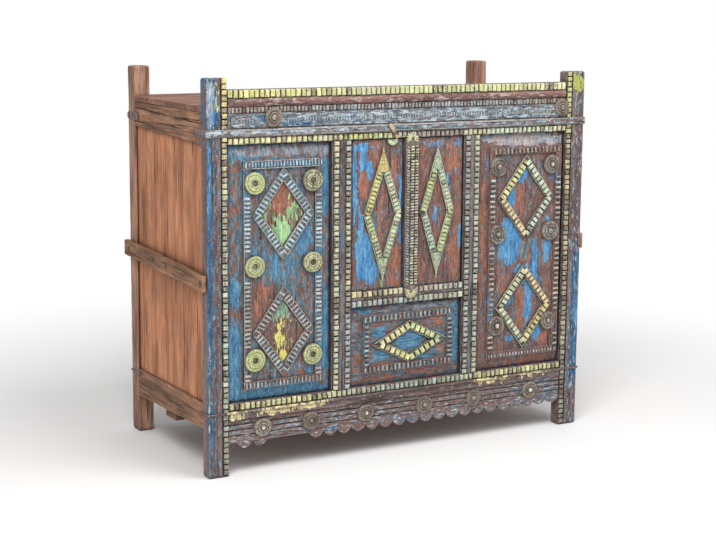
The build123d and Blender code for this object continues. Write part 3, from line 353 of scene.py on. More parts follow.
def coat(tree, base, shades, left, grain, seed, daubs=(), size=0.028, facing=True, lozenges=(),
         rims=(), lines=()):
    """Lay one coat of old paint over a base. left is from 0, none, to 1, all of it."""
    flecks = spots(tree, 0.005, seed + 2, 4, grain, 4)
    amount = add(tree, spots(tree, size, seed, 7, grain, 3), flecks, 0.6)
    amount = calc(tree, "ADD", amount, left - NOISE_MIDDLE)
    place = put(tree, "TexCoord", {}, 3)
    if daubs:
        stir = put(tree, "TexNoise", {"Vector": place, "Scale": 45.0, "Detail": 2.0}, 1)
        pushed = vector(tree, "SUBTRACT", stir, (0.5, 0.5, 0.5))
        ragged = vector(tree, "ADD", place, vector(tree, "MULTIPLY", pushed, WANDER))
        for *oval, push in daubs:
            amount = add(tree, amount, daub(tree, ragged, *oval), push)
    for *diamond, push in lozenges:
        amount = add(tree, amount, lozenge(tree, place, *diamond), push)
    # Painted shade: a rim along the inside of an opening.
    for *opening, push in rims:
        amount = add(tree, amount, frame_of(tree, place, *opening), push)
    # Painted shade: a dark line along a groove.
    for z, half, push in lines:
        off = put(tree, "Math", {0: calc(tree, "SUBTRACT", parts_of(tree, place)[2], z / 1000)},
                  operation="ABSOLUTE")
        near = calc(tree, "SUBTRACT", 1.0, fade(tree, off, half / 2000, half / 1000))
        amount = add(tree, amount, near, push)
    mask = fade(tree, amount, *PAINT_EDGE)
    if facing:
        ahead_part = vector(tree, "DOT_PRODUCT", put(tree, "TexCoord", {}, 1), (0, -1, 0), 1)
        mask = calc(tree, "MULTIPLY", mask, fade(tree, ahead_part, 0.15, 0.4))
    tone = fade(tree, spots(tree, 0.009, seed + 5, 5, grain, 5), 0.38, 0.62)
    return mix(tree, mask, base, mix(tree, tone, shades[0], shades[1])), mask


def layer(shades, left, *daubs, **options):
    """What a coat is laid with: its two shades, how much is left, its daubs and the rest."""
    return shades, left, daubs, options


def painted(name, grain, layers, wood=(umber, brown, plum), seed=1):
    """Old wood under worn coats of paint."""
    material, tree = new_finish(name)
    base, height = old_wood(tree, grain, *wood, seed)
    for number, (shades, left, daubs, options) in enumerate(layers):
        along = options.pop("along", grain)
        base, mask = coat(tree, base, shades, left, along, seed + 11 + 7 * number, daubs, **options)
        height = add(tree, height, mask, 0.5)
    finish_off(tree, base, height, PAINT_ROUGH, grain)
    return material


deep_blue = (colour(38, 78, 112), colour(66, 110, 146))
sky_blue = (colour(58, 122, 176), colour(100, 154, 192))
sea_blue = (colour(62, 108, 140), colour(92, 140, 168))
# A near black, laid as dark flecks on a post, as painted shade along grooves and as a painted
# shadow under the staple.
soot_and_painted_shade = (colour(34, 28, 30), colour(58, 48, 48))
pale_blue = (colour(140, 156, 170), colour(184, 190, 192))
teal_wash = (colour(78, 98, 110), colour(112, 128, 134))
# Dark navy, laid only as painted shade along the inside of openings and down gaps.
navy_painted_shade = (colour(20, 44, 66), colour(36, 74, 102))
mint = (colour(122, 168, 116), colour(162, 196, 144))
lime = (colour(152, 164, 84), colour(204, 200, 112))
cream = (colour(205, 200, 140), colour(232, 224, 170))
print("deep blue", [round(v, 3) for v in deep_blue[0][:3]])

# %% [markdown]
# ## Worn timbers
# Two hundred years of use have rounded every edge. A copy of each plain timber is rebuilt in
# an even skin of small faces, then pushed in and out: broadly, as a hand-sawn timber varies,
# and finely along the grain. An empty that is stretched along the grain carries the fine
# pattern. Panels, rails and muntins keep their own mesh, as such a skin would blur their
# grooves.


# %% wearing a timber down
def clear_selection():
    """Leave edit mode and deselect everything."""
    if bpy.context.object and bpy.context.object.mode != "OBJECT":
        bpy.ops.object.mode_set(mode="OBJECT")
    bpy.ops.object.select_all(action="DESELECT")


def take_up(*pieces):
    """Make pieces the only selected ones, with the first of them active."""
    clear_selection()
    for piece in pieces:
        piece.select_set(True)
    bpy.context.view_layer.objects.active = pieces[0]


@contextmanager
def editing(piece, wanted=None, kind="FACE"):
    """Edit mode, with the faces or points that are wanted selected, or all of them."""
    take_up(piece)
    bpy.ops.object.mode_set(mode="EDIT")
    bpy.ops.mesh.select_mode(type=kind)
    bpy.ops.mesh.select_all(action="DESELECT" if wanted else "SELECT")
    if wanted:
        bpy.ops.object.mode_set(mode="OBJECT")
        for item in piece.data.polygons if kind == "FACE" else piece.data.vertices:
            item.select = wanted(item)
        bpy.ops.object.mode_set(mode="EDIT")
    yield
    bpy.ops.object.mode_set(mode="OBJECT")


def faces_front(face):
    """Whether a face looks to the front."""
    return face.normal.y < -0.9


def apply_modifiers(piece):
    """Apply every modifier of a piece, in order."""
    take_up(piece)
    for modifier in list(piece.modifiers):
        bpy.ops.object.modifier_apply(modifier=modifier.name)


def bevel(piece, width, segments=1, **settings):
    """Round the edges of a piece."""
    edge = piece.modifiers.new("edge", "BEVEL")
    edge.width, edge.segments = width, segments
    for name, value in settings.items():
        setattr(edge, name, value)
    apply_modifiers(piece)


def guide(grain):
    """An empty stretched along the grain."""
    empty = bpy.data.objects.new("guide_" + grain, None)
    bpy.context.scene.collection.objects.link(empty)
    empty.scale = [0.14 if axis == grain else 0.02 for axis in "xyz"]
    return empty


clouds = bpy.data.textures.new("timber_clouds", "CLOUDS")
clouds.noise_scale = 0.5
clouds.noise_depth = 3
broad_clouds = bpy.data.textures.new("broad_clouds", "CLOUDS")
broad_clouds.noise_scale = 0.09


def worn(node, finish, grain, voxel=0.003, fine=0.0016, broad=0.002, body="carcass"):
    """A weathered copy of one timber of the frame, which it then stands for."""
    piece = nodes[node].copy()
    piece.data = nodes[node].data.copy()
    piece.name = node + "_worn"
    for key in list(piece.keys()):
        del piece[key]
    piece.parent = None
    bpy.context.scene.collection.objects.link(piece)
    with editing(piece):
        bpy.ops.mesh.remove_doubles(threshold=0.00001)
    skin = piece.modifiers.new("skin", "REMESH")
    skin.mode = "VOXEL"
    skin.voxel_size = voxel
    skin.use_smooth_shade = True
    stretched = guide(grain)
    for texture, strength, coords in ((clouds, fine, "OBJECT"), (broad_clouds, broad, "LOCAL")):
        push = piece.modifiers.new("push", "DISPLACE")
        push.texture = texture
        push.strength = strength
        push.mid_level = 0.62  # more inwards than outwards
        push.texture_coords = coords
        if coords == "OBJECT":
            push.texture_coords_object = stretched
    apply_modifiers(piece)
    bpy.data.objects.remove(stretched)
    for vertex in piece.data.vertices:
        vertex.co.z = max(vertex.co.z, 0)  # the feet stand on the floor
    piece.data.materials.clear()
    piece.data.materials.append(finish)
    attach(piece, body)
    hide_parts(node)
    print(piece.name, len(piece.data.polygons), "faces")
    return piece


# %% [markdown]
# ## Finishes of the front
# The posts and rails are dark under the remains of a blue coat. What is left of it differs
# from timber to timber, so each has its own daubs.

# %% finishes of the timbers
# The near-black coats with lines paint shade along the grooves of rails, belt, apron and base.
dark_wood = (umber, colour(108, 84, 82), plum)
post_left_finish = painted("post_left_paint", "z", [
    layer(teal_wash, 0.44, (-676, 600, 16, 700, 0.2), size=0.012),
    layer(deep_blue, 0.34, (-674, 700, 12, 500, 0.3), (-660, 1120, 22, 90, 0.4),
          (-672, 150, 14, 120, 0.2), (-645, 500, 10, 400, -0.25)),
    layer(sky_blue, 0.24, (-664, 1120, 18, 90, 0.3), (-674, 700, 8, 420, 0.16),
          (-672, 900, 8, 120, 0.2), (-674, 150, 12, 110, 0.26), (-645, 500, 10, 400, -0.2)),
    layer(pale_blue, 0.34, (-670, 1130, 22, 90, 0.24), (-675, 300, 6, 200, 0.12), size=0.007),
    layer((lime[1], cream[0]), 0.04, (-646, 1150, 9, 70, 0.46), (-660, 1090, 7, 70, 0.34),
          size=0.009),
    layer(soot_and_painted_shade, 0.14, (-645, 700, 8, 500, 0.12), size=0.006),
    layer(deep_blue, 0.2, (-680, 1150, 40, 120, 0.3), facing=False),
], dark_wood, 1)
post_right_finish = painted("post_right_paint", "z", [
    layer(teal_wash, 0.4, size=0.012),
    layer(deep_blue, 0.24, (668, 400, 25, 280, 0.4), (650, 200, 25, 120, 0.2)),
    layer(sky_blue, 0.2, (672, 420, 14, 240, 0.25)),
    layer(pale_blue, 0.4, size=0.007),
    layer(lime, 0.1, (654, 1165, 26, 44, 0.55), (660, 700, 8, 200, 0.15), size=0.01),
], dark_wood, 2)
rail_top_finish = painted("rail_top_paint", "x", [
    layer(teal_wash, 0.54, size=0.014),
    layer(deep_blue, 0.34, (-330, 1072, 240, 20, 0.16), (-480, 1072, 20, 18, 0.3),
          (120, 1072, 200, 20, -0.1), (-60, 1100, 500, 12, 0.08)),
    layer(sky_blue, 0.24, (-470, 1068, 14, 16, 0.3), (-240, 1078, 120, 12, 0.12), size=0.016),
    layer(pale_blue, 0.46, (100, 1072, 500, 20, 0.06), size=0.008),
    layer(soot_and_painted_shade, -0.25, size=0.012, lines=[(1052, 3, 0.6), (1093.5, 2.5, 0.6)]),
], dark_wood, 3)
belt_finish = painted("belt_paint", "x", [
    layer(teal_wash, 0.5, size=0.014),
    layer(deep_blue, 0.28),
    layer(pale_blue, 0.46, (-500, 1040, 300, 8, 0.1), size=0.009),
    layer(soot_and_painted_shade, -0.2, size=0.012, lines=[(1027, 2.5, 0.65), (1036.5, 2, 0.55), (1049, 2.5, 0.6)]),
], dark_wood, 4)
torus_finish = painted("crest_torus_paint", "x", [
    layer((colour(142, 126, 122), colour(182, 168, 158)), 0.44, size=0.012),
    layer(cream, 0.22, (-400, 1138, 260, 4, 0.14), size=0.009),
], (umber, colour(104, 72, 66), colour(134, 96, 88)), 5)
apron_finish = painted("apron_paint", "x", [
    layer(teal_wash, 0.42, size=0.012),
    layer(deep_blue, 0.18, (500, 130, 110, 60, 0.3), (-250, 120, 60, 40, 0.18),
          (100, 150, 60, 20, 0.18)),
    layer(pale_blue, 0.42, size=0.007),
    layer(soot_and_painted_shade, -0.2, size=0.012, lines=[(157, 4.5, 0.75), (140, 4, 0.75), (123, 4, 0.7)]),
], (umber, brown, plum), 6)
base_finish = painted("base_paint", "x", [
    layer(teal_wash, 0.34, size=0.012),
    layer(deep_blue, 0.2, (440, 186, 200, 12, 0.2)),
    layer(pale_blue, 0.34, size=0.009),
    layer((colour(210, 192, 134), colour(236, 226, 178)), 0.14, (-590, 184, 40, 20, 0.44),
          (-440, 190, 110, 18, 0.44), (-310, 194, 60, 14, 0.38), (-130, 196, 60, 8, 0.3),
          (60, 196, 80, 6, 0.2), (330, 192, 90, 16, 0.44), (500, 194, 90, 12, 0.38), size=0.0065,
          along="z"),
    layer(soot_and_painted_shade, -0.2, size=0.012, lines=[(172, 3.5, 0.7), (187, 2.5, 0.55)]),
], dark_wood, 7)
muntin_finish = painted("muntin_paint", "z", [
    layer(teal_wash, 0.42, size=0.012),
    layer(deep_blue, 0.34, (-236, 600, 8, 400, 0.1), (252, 430, 8, 300, 0.1)),
    layer(pale_blue, 0.3, size=0.007),
], (colour(58, 46, 46), colour(96, 74, 74), plum), 8)
print("finishes", len(bpy.data.materials))

# %% worn front timbers
worn("post_front_left", post_left_finish, "z", 0.002, 0.0014, 0.0012)
worn("post_front_right", post_right_finish, "z", 0.002, 0.0014, 0.0012)
for node, finish in (("belt_moulding", belt_finish), ("belt_returns", belt_finish),
                     ("crest_torus", torus_finish), ("base_ridge", base_finish),
                     ("base_returns", base_finish)):
    worn(node, finish, "x", 0.0018, 0.001, 0.0008)


def give(finish, *names):
    """Put a finish on parts of the frame that keep their own mesh."""
    for name in names:
        for place in nodes[name].material_slots:
            place.material = finish


give(rail_top_finish, "rail_front_top")
give(apron_finish, "rail_front_bottom")
give(base_finish, "base_moulding")
give(muntin_finish, "muntin_left", "muntin_right", "rail_cross")

# %% [markdown]
# ## The sides, back and inside
# The sides were never painted. Their boards are a lighter, orange brown, with long dark
# streaks, and the posts behind are darker and rougher.

# %% bare timbers
side_finish = bare("side_board_wood", "z", (138, 90, 62), (184, 122, 88), (206, 142, 104), 21)
side_rail_finish = bare("side_rail_wood", "y", (84, 62, 50), (134, 96, 72), (168, 124, 94), 22,
                        age=0.8)
rear_post_finish = bare("rear_post_wood", "z", (96, 72, 62), (150, 112, 92), (184, 142, 118), 23,
                        age=0.7)
back_finish = bare("back_board_wood", "z", (84, 62, 52), (122, 88, 70), (150, 110, 86), 24)
inside_finish = bare("inside_wood", "x", (80, 58, 48), (112, 80, 62), (138, 100, 76), 25)
top_finish = bare("top_board_wood", "x", (86, 62, 52), (124, 86, 70), (152, 110, 88), 26)
give(side_finish, "side_boards_left", "side_boards_right")
give(back_finish, "back_boards")
give(inside_finish, "floor_boards", "floor_ledgers", "floor_bearer", "top_bearer", "door_stops",
     "rail_back_bottom", "rail_back_top")
give(top_finish, "top_boards")
for side in ("left", "right"):
    worn("post_rear_" + side, rear_post_finish, "z", 0.003)
    worn("side_rail_lower_" + side, side_rail_finish, "y")
    worn("side_rail_upper_" + side, side_rail_finish, "y")
    worn("side_board_top_" + side, side_rail_finish, "y")
    worn("batten_" + side, side_rail_finish, "y", 0.0026)

# %% [markdown]
# ## Beads
# Most edges of the front carry a strip of beads: small blocks left standing between cuts of a
# gouge. One block is modelled: a cube at the block's size, with its front face drawn in and
# its edges bevelled. It is copied along each strip, and each copy is tilted, shrunk and
# painted a little differently, as the carver and the painter left it. Two attributes travel
# with the copies: "paint" holds the colour and how much of it is left, and "crown" says how
# near the top a point is, so that paint stays high and the darker colour beneath shows low.


# %% one bead
BEAD_RUN, BEAD_WIDTH = 15, 21.6  # millimetres
BEAD_HEIGHT, LOW_HEIGHT = 0.0098, 0.0064


def mark_crown(piece, low, high):
    """Give each point its share of the way from one height over the seat to another."""
    crown = piece.data.attributes.new("crown", "FLOAT", "POINT")
    for vertex, entry in zip(piece.data.vertices, crown.data):
        entry.value = max(0.0, min(1.0, (-vertex.co.y - low) / (high - low)))


def bead_block(name, height, draw=0.22, soft=0.0012, rounds=1, run=BEAD_RUN / 1000,
               width=BEAD_WIDTH / 1000):
    """A block at the origin: its run lies along X, its width along Z, and it stands to -Y."""
    clear_selection()
    bpy.ops.mesh.primitive_cube_add(size=1, location=(0, -height * 0.25, 0))
    block = bpy.context.object
    block.name = name
    block.scale = (run, height * 0.5, width)
    bpy.ops.object.transform_apply(location=True, scale=True)
    with editing(block, faces_front):
        bpy.ops.mesh.inset(thickness=run * draw, depth=height * 0.5)
        bpy.ops.mesh.select_all(action="SELECT")
        bpy.ops.mesh.bevel(offset=soft, segments=rounds, affect="EDGES")
    mark_crown(block, 0.0, max(-v.co.y for v in block.data.vertices))
    bpy.context.scene.collection.objects.unlink(block)
    return block


def shade_between(stops, where):
    """A colour from a list of (place, red, green, blue) stops."""
    for (start, *first), (end, *second) in zip(stops, stops[1:]):
        if where <= end:
            share = max(0.0, min(1.0, (where - start) / (end - start)))
            return [a + (b - a) * share for a, b in zip(first, second)]
    return list(stops[-1][1:])


def lay(template, name, places, stops, body="carcass", left=0.8, stands_for=(), seed=1,
        wander=0.0004, tilt=1.5, spread=12):
    """Copy a block to each (x, depth, z, turn, run, width, where), paint it, and join them all.

    turn is in degrees, run and width stretch the block, and where picks its colour.
    """
    chance = random.Random(seed)
    copies = []
    for x, depth, z, turn, run, width, where in places:
        copy = template.copy()
        copy.data = template.data.copy()
        bpy.context.scene.collection.objects.link(copy)
        move = Matrix.Translation((x / 1000 + chance.gauss(0, wander), front + depth / 1000,
                                   z / 1000 + chance.gauss(0, wander)))
        spin = Matrix.Rotation(math.radians(turn + chance.gauss(0, tilt)), 4, "Y")
        size = Matrix.Diagonal((run * chance.uniform(0.9, 1.04), chance.uniform(0.86, 1.0),
                                width * chance.uniform(0.93, 1.02), 1))
        copy.data.transform(move @ spin @ size)
        lift = chance.gauss(0, spread)
        shade = [v + lift + chance.gauss(0, spread / 4) for v in shade_between(stops, where)]
        kept = max(0.0, min(1.0, left + chance.gauss(0, 0.24)))
        paint = copy.data.attributes.new("paint", "FLOAT_COLOR", "POINT")
        entry = (*colour(*[max(20, min(250, v)) for v in shade])[:3], kept)
        paint.data.foreach_set("color", entry * len(copy.data.vertices))
        copies.append(copy)
    take_up(*copies)
    bpy.ops.object.join()
    strip = bpy.context.object
    strip.name = name
    strip.data.name = name
    strip.data.materials.clear()
    strip.data.materials.append(bead_finish)
    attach(strip, body)
    if stands_for:
        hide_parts(*stands_for)
    return strip


# %% bead finish
bead_finish, tree = new_finish("bead_paint")
held = put(tree, "Attribute", {}, 0, attribute_name="paint")
kept = put(tree, "Attribute", {}, 3, attribute_name="paint")
crown = put(tree, "Attribute", {}, 2, attribute_name="crown")
grit = spots(tree, 0.004, 31, 4)
under = mix(tree, fade(tree, spots(tree, 0.03, 35, 3), 0.4, 0.6), colour(84, 72, 64),
            colour(122, 108, 98))
held = mix(tree, 0.16, held, colour(150, 146, 132))
amount = add(tree, calc(tree, "MULTIPLY", crown, 0.4), grit, 1.3)
amount = add(tree, add(tree, amount, kept, 0.5), spots(tree, 0.014, 33, 4), 0.4)
paint_mask = fade(tree, amount, 1.24, 1.62)
faded = mix(tree, fade(tree, grit, 0.4, 0.7), held, mix(tree, 0.5, held, colour(232, 228, 212)))
finish_off(tree, mix(tree, paint_mask, under, faded), calc(tree, "ADD", grit, paint_mask), 0.6,
           "z", depth=0.0008, reach=0.01, edge_wear_and_highlight=0.3, age=0.6)
print("bead finish ready")

# %% strips of beads
SEAT = 9.0  # how far behind the front the beads stand
PITCH = 17.5
CELL = (16, 22)  # what a bead of full size takes up, along and across its strip


def beads(x0, x1, z0, z1, pitch=PITCH, depth=SEAT, upright=False):
    """Places for a strip of beads over a rectangle; where is how far along each bead lies."""
    start, end, across = (z0, z1, x1 - x0) if upright else (x0, x1, z1 - z0)
    count = round((end - start) / pitch)
    step = (end - start) / count
    made = []
    for k in range(count):
        along = start + (k + 0.5) * step
        x, z = ((x0 + x1) / 2, along) if upright else (along, (z0 + z1) / 2)
        made.append((x, depth, z, 90 if upright else 0, step / CELL[0], across / CELL[1],
                     along))
    return made


block = bead_block("bead", BEAD_HEIGHT)
wide_block = bead_block("wide_bead", BEAD_HEIGHT, 0.12)
low_block = bead_block("low_bead", LOW_HEIGHT)
wide_low = bead_block("wide_low_bead", LOW_HEIGHT, 0.16)
round_low = bead_block("round_bead", 0.0068, 0.2, 0.0022, 2)
bar_low = bead_block("low_bar", 0.0026, 0.14, 0.0005)
for template, name, node, pitch, left, seed, stops in (
    (wide_block, "crest_beads", "bead_strip_crest", 17.2, 0.82, 11,
     [(-612, 204, 202, 108), (-300, 214, 210, 124), (-150, 180, 180, 134), (0, 200, 202, 136),
      (200, 192, 200, 124), (400, 210, 210, 142), (605, 228, 222, 172)]),
    (block, "lintel_beads", "bead_strip_lintel", PITCH, 0.72, 12,
     [(-612, 226, 214, 160), (-380, 222, 214, 150), (-300, 200, 196, 150), (-262, 190, 186, 140),
      (-160, 205, 208, 100), (-60, 200, 205, 130), (-10, 180, 176, 160), (20, 128, 110, 102),
      (205, 128, 112, 106), (222, 196, 190, 150), (275, 196, 190, 130), (330, 186, 204, 180),
      (610, 196, 200, 150)]),
    (block, "sill_beads", "bead_strip_sill", PITCH, 0.56, 13,
     [(-612, 214, 204, 130), (-300, 196, 196, 130), (-200, 160, 170, 140), (0, 146, 170, 164),
      (200, 160, 180, 156), (280, 198, 192, 130), (610, 198, 196, 130)]),
):
    lay(template, name, beads(*span(node), pitch), stops, left=left, stands_for=[node], seed=seed)
lay(wide_block, "post_beads_left", beads(-632, -614, 5, 1200, 17, upright=True),
    [(0, 108, 110, 96), (200, 146, 154, 122), (420, 170, 182, 160), (700, 176, 176, 144),
     (900, 190, 184, 134), (1040, 206, 190, 114), (1200, 216, 190, 98)], left=0.42,
    stands_for=["bead_strips_posts"], seed=14)
lay(wide_block, "post_beads_right", beads(612, 630, 5, 1200, 17, upright=True),
    [(0, 110, 112, 96), (230, 150, 156, 120), (500, 186, 160, 120), (800, 190, 170, 110),
     (1000, 188, 188, 120), (1200, 205, 208, 96)], left=0.45, seed=15)
for side, outer, inner, stops_out, stops_in in (
    ("left", (-258, -240), (-217, -199),
     [(223, 190, 200, 150), (480, 180, 184, 150), (700, 178, 182, 146),
      (900, 186, 186, 150), (1004, 200, 190, 134)],
     [(223, 140, 166, 174), (470, 150, 170, 178), (540, 196, 186, 130),
      (700, 184, 190, 160), (1004, 160, 168, 158)]),
    ("right", (253, 271), (219, 237),
     [(223, 172, 186, 154), (600, 154, 172, 158), (1004, 174, 180, 144)],
     [(223, 146, 168, 162), (480, 152, 166, 154), (800, 132, 150, 148),
      (1004, 146, 154, 144)]),
):
    node = "bead_strips_muntin_" + side
    *_, low, high = span(node)
    lay(block, "muntin_beads_%s_outer" % side, beads(*outer, low, high, upright=True), stops_out,
        left=0.6, stands_for=[node], seed=16)
    lay(block, "muntin_beads_%s_inner" % side, beads(*inner, low, high, upright=True), stops_in,
        left=0.5, seed=17)
x0, x1, z0, z1 = span("bead_strips_cross")
lay(block, "cross_beads_top", beads(x0, x1, z1 - 20.5, z1, 19),
    [(-195, 206, 196, 130), (-60, 196, 190, 140), (60, 160, 150, 138), (215, 170, 166, 156)],
    left=0.6, stands_for=["bead_strips_cross"], seed=18)
lay(block, "cross_beads_bottom", beads(x0, x1, z0, z0 + 20.5, 19),
    [(-195, 150, 176, 176), (0, 146, 166, 160), (215, 190, 196, 160)], left=0.55, seed=19)
lay(low_block, "frieze_bars", beads(*span("bead_row_frieze"), 12),
    [(-612, 132, 112, 112), (-420, 126, 110, 108), (-300, 124, 134, 150), (0, 130, 128, 138),
     (200, 120, 132, 150), (605, 140, 122, 112)], left=0.62, stands_for=["bead_row_frieze"],
    seed=20)
ticks = [place for start, end in ((-604, -500), (-430, -46), (-34, 349), (361, 556))
         for place in beads(start + 8, end - 8, 1060, 1085, 9.5, 0.2)]
lay(bar_low, "frieze_ticks", [(*place[:4], 0.24, 0.6, place[6]) for place in ticks],
    [(-612, 140, 130, 136), (-430, 120, 150, 180), (-200, 130, 160, 186),
     (0, 150, 156, 164), (350, 130, 152, 176), (556, 150, 140, 134)],
    left=0.8, seed=21, spread=14)
for z in (1030, 1046):
    lay(bar_low, "belt_reed_%d" % z, [(0, -1.6, z, 0, 1368 / BEAD_RUN, 0.16, 0)],
        [(0, 166, 160, 158)], left=0.6, seed=z, tilt=0, wander=0)

# %% [markdown]
# ## Chip carving on the panels
# The left panel's border and diamonds are rows of thin bars between two thin ridges, cut into
# the surface. The right panel, the lower panel and the doors carry solid blocks instead. Both
# are laid with the same helper: the bar is one more block, narrow and low.


# %% laying carving along a line
def row(start, end, pitch, depth, run, width, where=None):
    """Places for blocks along a line from one (x, z) to another."""
    (x0, z0), (x1, z1) = start, end
    length = math.hypot(x1 - x0, z1 - z0)
    count = max(1, round(length / pitch))
    turn = -math.degrees(math.atan2(z1 - z0, x1 - x0))
    made = []
    for k in range(count):
        share = (k + 0.5) / count
        x, z = x0 + (x1 - x0) * share, z0 + (z1 - z0) * share
        made.append((x, depth, z, turn, run, width, z if where is None else where))
    return made


def line(start, end, depth, width):
    """One long thin block along a line."""
    (x0, z0), (x1, z1) = start, end
    length = math.hypot(x1 - x0, z1 - z0)
    return row(start, end, length, depth, length / BEAD_RUN, width / BEAD_WIDTH)


def diamond_corners(x0, x1, z0, z1, band, share):
    """The corners of a diamond drawn inside another, share of the band in from its edge."""
    width, height = x1 - x0, z1 - z0
    inset = 2 * band * share * math.hypot(width, height)
    half_width, half_height = (width - inset / height) / 2, (height - inset / width) / 2
    x, z = (x0 + x1) / 2, (z0 + z1) / 2
    return [(x, z + half_height), (x + half_width, z), (x, z - half_height), (x - half_width, z)]


def sides_of(corners):
    """The four sides of a diamond."""
    return list(zip(corners, corners[1:] + corners[:1]))


def carve(box, band, pitch, depth, run, width, edge, where=None, shares=(0.03, 0.97), tip=0.0):
    """The blocks of a diamond's band, and the thin edges along both sides of the band.

    where picks the colour from the number and the ends of a side. tip is the share of each
    side, next to the upper or lower point of the diamond, that carries no blocks.
    """
    blocks, edges = [], []
    for side, (start, end) in enumerate(sides_of(diamond_corners(*box, band, 0.5))):
        if tip:
            point, end = (start, end) if side % 2 == 0 else (end, start)
            start = [a + (b - a) * tip for a, b in zip(point, end)]
        blocks += row(start, end, pitch, depth, run, width, where and where(side, start, end))
    for share in shares:
        for start, end in sides_of(diamond_corners(*box, band, share)):
            edges += line(start, end, depth, edge)
    return blocks, edges


bar = bead_block("bar", 0.0032, 0.14, 0.0006)
LEFT_FIELD, RIGHT_FIELD, LOWER_FIELD = ((-562, -299, 261, 954), (313, 596, 261, 958),
                                        (-153, 179, 265, 450))
BORDER, BAND, DOOR_BAND = 23, 25, 23
PROUD, DOOR_PROUD = 4.2, 6.7  # depths of the carving's seat on the panels and on the doors
UPPER, LOWER, HALF = 790, 430, 142.5  # middles and half height of the tall panels' diamonds
THIN = {"tilt": 0.1, "wander": 0.0002}

# %% ladders of the left panel
ladders, ridges = [], []
for middle in (LOWER, UPPER):
    made = carve((-534, -326, middle - HALF, middle + HALF), BAND, 13.5, PROUD, 0.46, 1.0, 3.2,
                 shares=(0.04, 0.96))
    ladders, ridges = ladders + made[0], ridges + made[1]
x0, x1, z0, z1 = LEFT_FIELD
for x in (x0 + BORDER / 2, x1 - BORDER / 2):
    for low, high in ((z0 + BORDER, 315), (388, 600), (680, 850)):
        ladders += [(x, PROUD, z, 0, 1.45, 0.38, z) for z in np.arange(low + 6, high, 13.0)]
for z, pitch in ((z1 - BORDER / 2, 10.5), (z0 + BORDER / 2, 12.5)):
    ladders += [(x, PROUD, z, 90, 1.3, 0.26, z) for x in np.arange(x0 + 8, x1, pitch)]
for z in (z1 - 1.5, z1 - BORDER, z0 + BORDER):
    ridges += line((x0, z), (x1, z), PROUD, 3.0)
for x in (x0 + 1.5, x0 + BORDER, x1 - BORDER):
    ridges += line((x, z0), (x, z1), PROUD, 2.6)
lay(bar, "left_ladders", ladders,
    [(261, 150, 130, 124), (330, 150, 150, 152), (560, 158, 160, 166), (700, 150, 178, 190),
     (860, 140, 172, 190), (954, 120, 160, 190)], left=0.72, seed=31, spread=18, tilt=3)
lay(bar, "left_ridges", ridges, [(261, 138, 128, 124), (954, 140, 150, 158)], left=0.6, seed=32,
    **THIN)

# %% blocks of the right panel
blocks, edges = [], []
for number, middle in enumerate((UPPER, LOWER)):
    made = carve((344, 566, middle - HALF, middle + HALF), BAND, 17.0, PROUD, 1.0, 0.9, 2.6,
                 lambda side, start, end: 4 * number + side)
    blocks, edges = blocks + made[0], edges + made[1]
lay(wide_block, "right_diamonds", blocks,
    [(0, 188, 206, 176), (1, 184, 202, 182), (2, 204, 180, 128), (3, 212, 204, 122),
     (4, 224, 196, 140), (5, 206, 190, 98), (6, 184, 200, 164), (7, 192, 202, 158)], left=0.85,
    seed=41, spread=14)
lay(bar, "right_diamond_edges", edges, [(287, 190, 186, 140), (930, 170, 186, 160)], left=0.7,
    seed=42, **THIN)
studs = []
x0, x1, z0, z1 = RIGHT_FIELD
for x, bottom in ((x0 + BORDER / 2, 300), (x1 - BORDER / 2, 290)):
    for low, high in ((bottom, 335), (410, 636), (716, 858)):
        studs += [(x, PROUD, z, 90, 0.62, 0.95, z) for z in np.arange(low, high, 17.0)]
studs += [(x, PROUD, z1 - BORDER / 2, 0, 0.55, 0.9, z1) for x in np.arange(x0 + 20, x1 - 8, 15.5)]
lay(low_block, "right_studs", studs,
    [(261, 170, 160, 150), (500, 182, 170, 160), (640, 178, 150, 140), (760, 176, 168, 164),
     (860, 160, 190, 196), (940, 120, 150, 156), (958, 140, 110, 96)], left=0.55, seed=43)
teeth = [(x, PROUD, z0 + 9, 90, 0.75, 0.3, 1) for x in np.arange(x0 + 8, x1, 12.0)]
lay(bar, "right_teeth", teeth, [(0, 150, 150, 150), (2, 150, 150, 150)], left=0.6, seed=44)

# %% the lower panel
blocks, edges = carve((-122, 154, 286.5, 421.5), BAND, 21.0, PROUD, 1.12, 0.88, 2.8,
                      lambda side, start, end: start[0] + end[0])
lay(wide_block, "lower_diamond", blocks,
    [(-120, 224, 216, 140), (60, 216, 212, 140), (150, 196, 212, 130)], left=0.9, seed=51)
lay(bar, "lower_diamond_edges", edges, [(287, 180, 176, 150), (422, 180, 176, 150)], left=0.7,
    seed=52, **THIN)
x0, x1, z0, z1 = LOWER_FIELD
studs = [(x, PROUD, z, 0, 0.55, 0.9, x) for z in (z1 - BORDER / 2, z0 + BORDER / 2)
         for x in np.arange(x0 + 8, x1, 15.5)]
studs += [(x, PROUD, z, 90, 0.6, 0.9, x) for x in (x0 + BORDER / 2, x1 - BORDER / 2)
          for z in np.arange(z0 + BORDER + 6, z1 - BORDER, 15.0)]
lay(low_block, "lower_studs", studs,
    [(-153, 120, 150, 170), (0, 126, 140, 150), (179, 110, 146, 176)], left=0.5, seed=53)

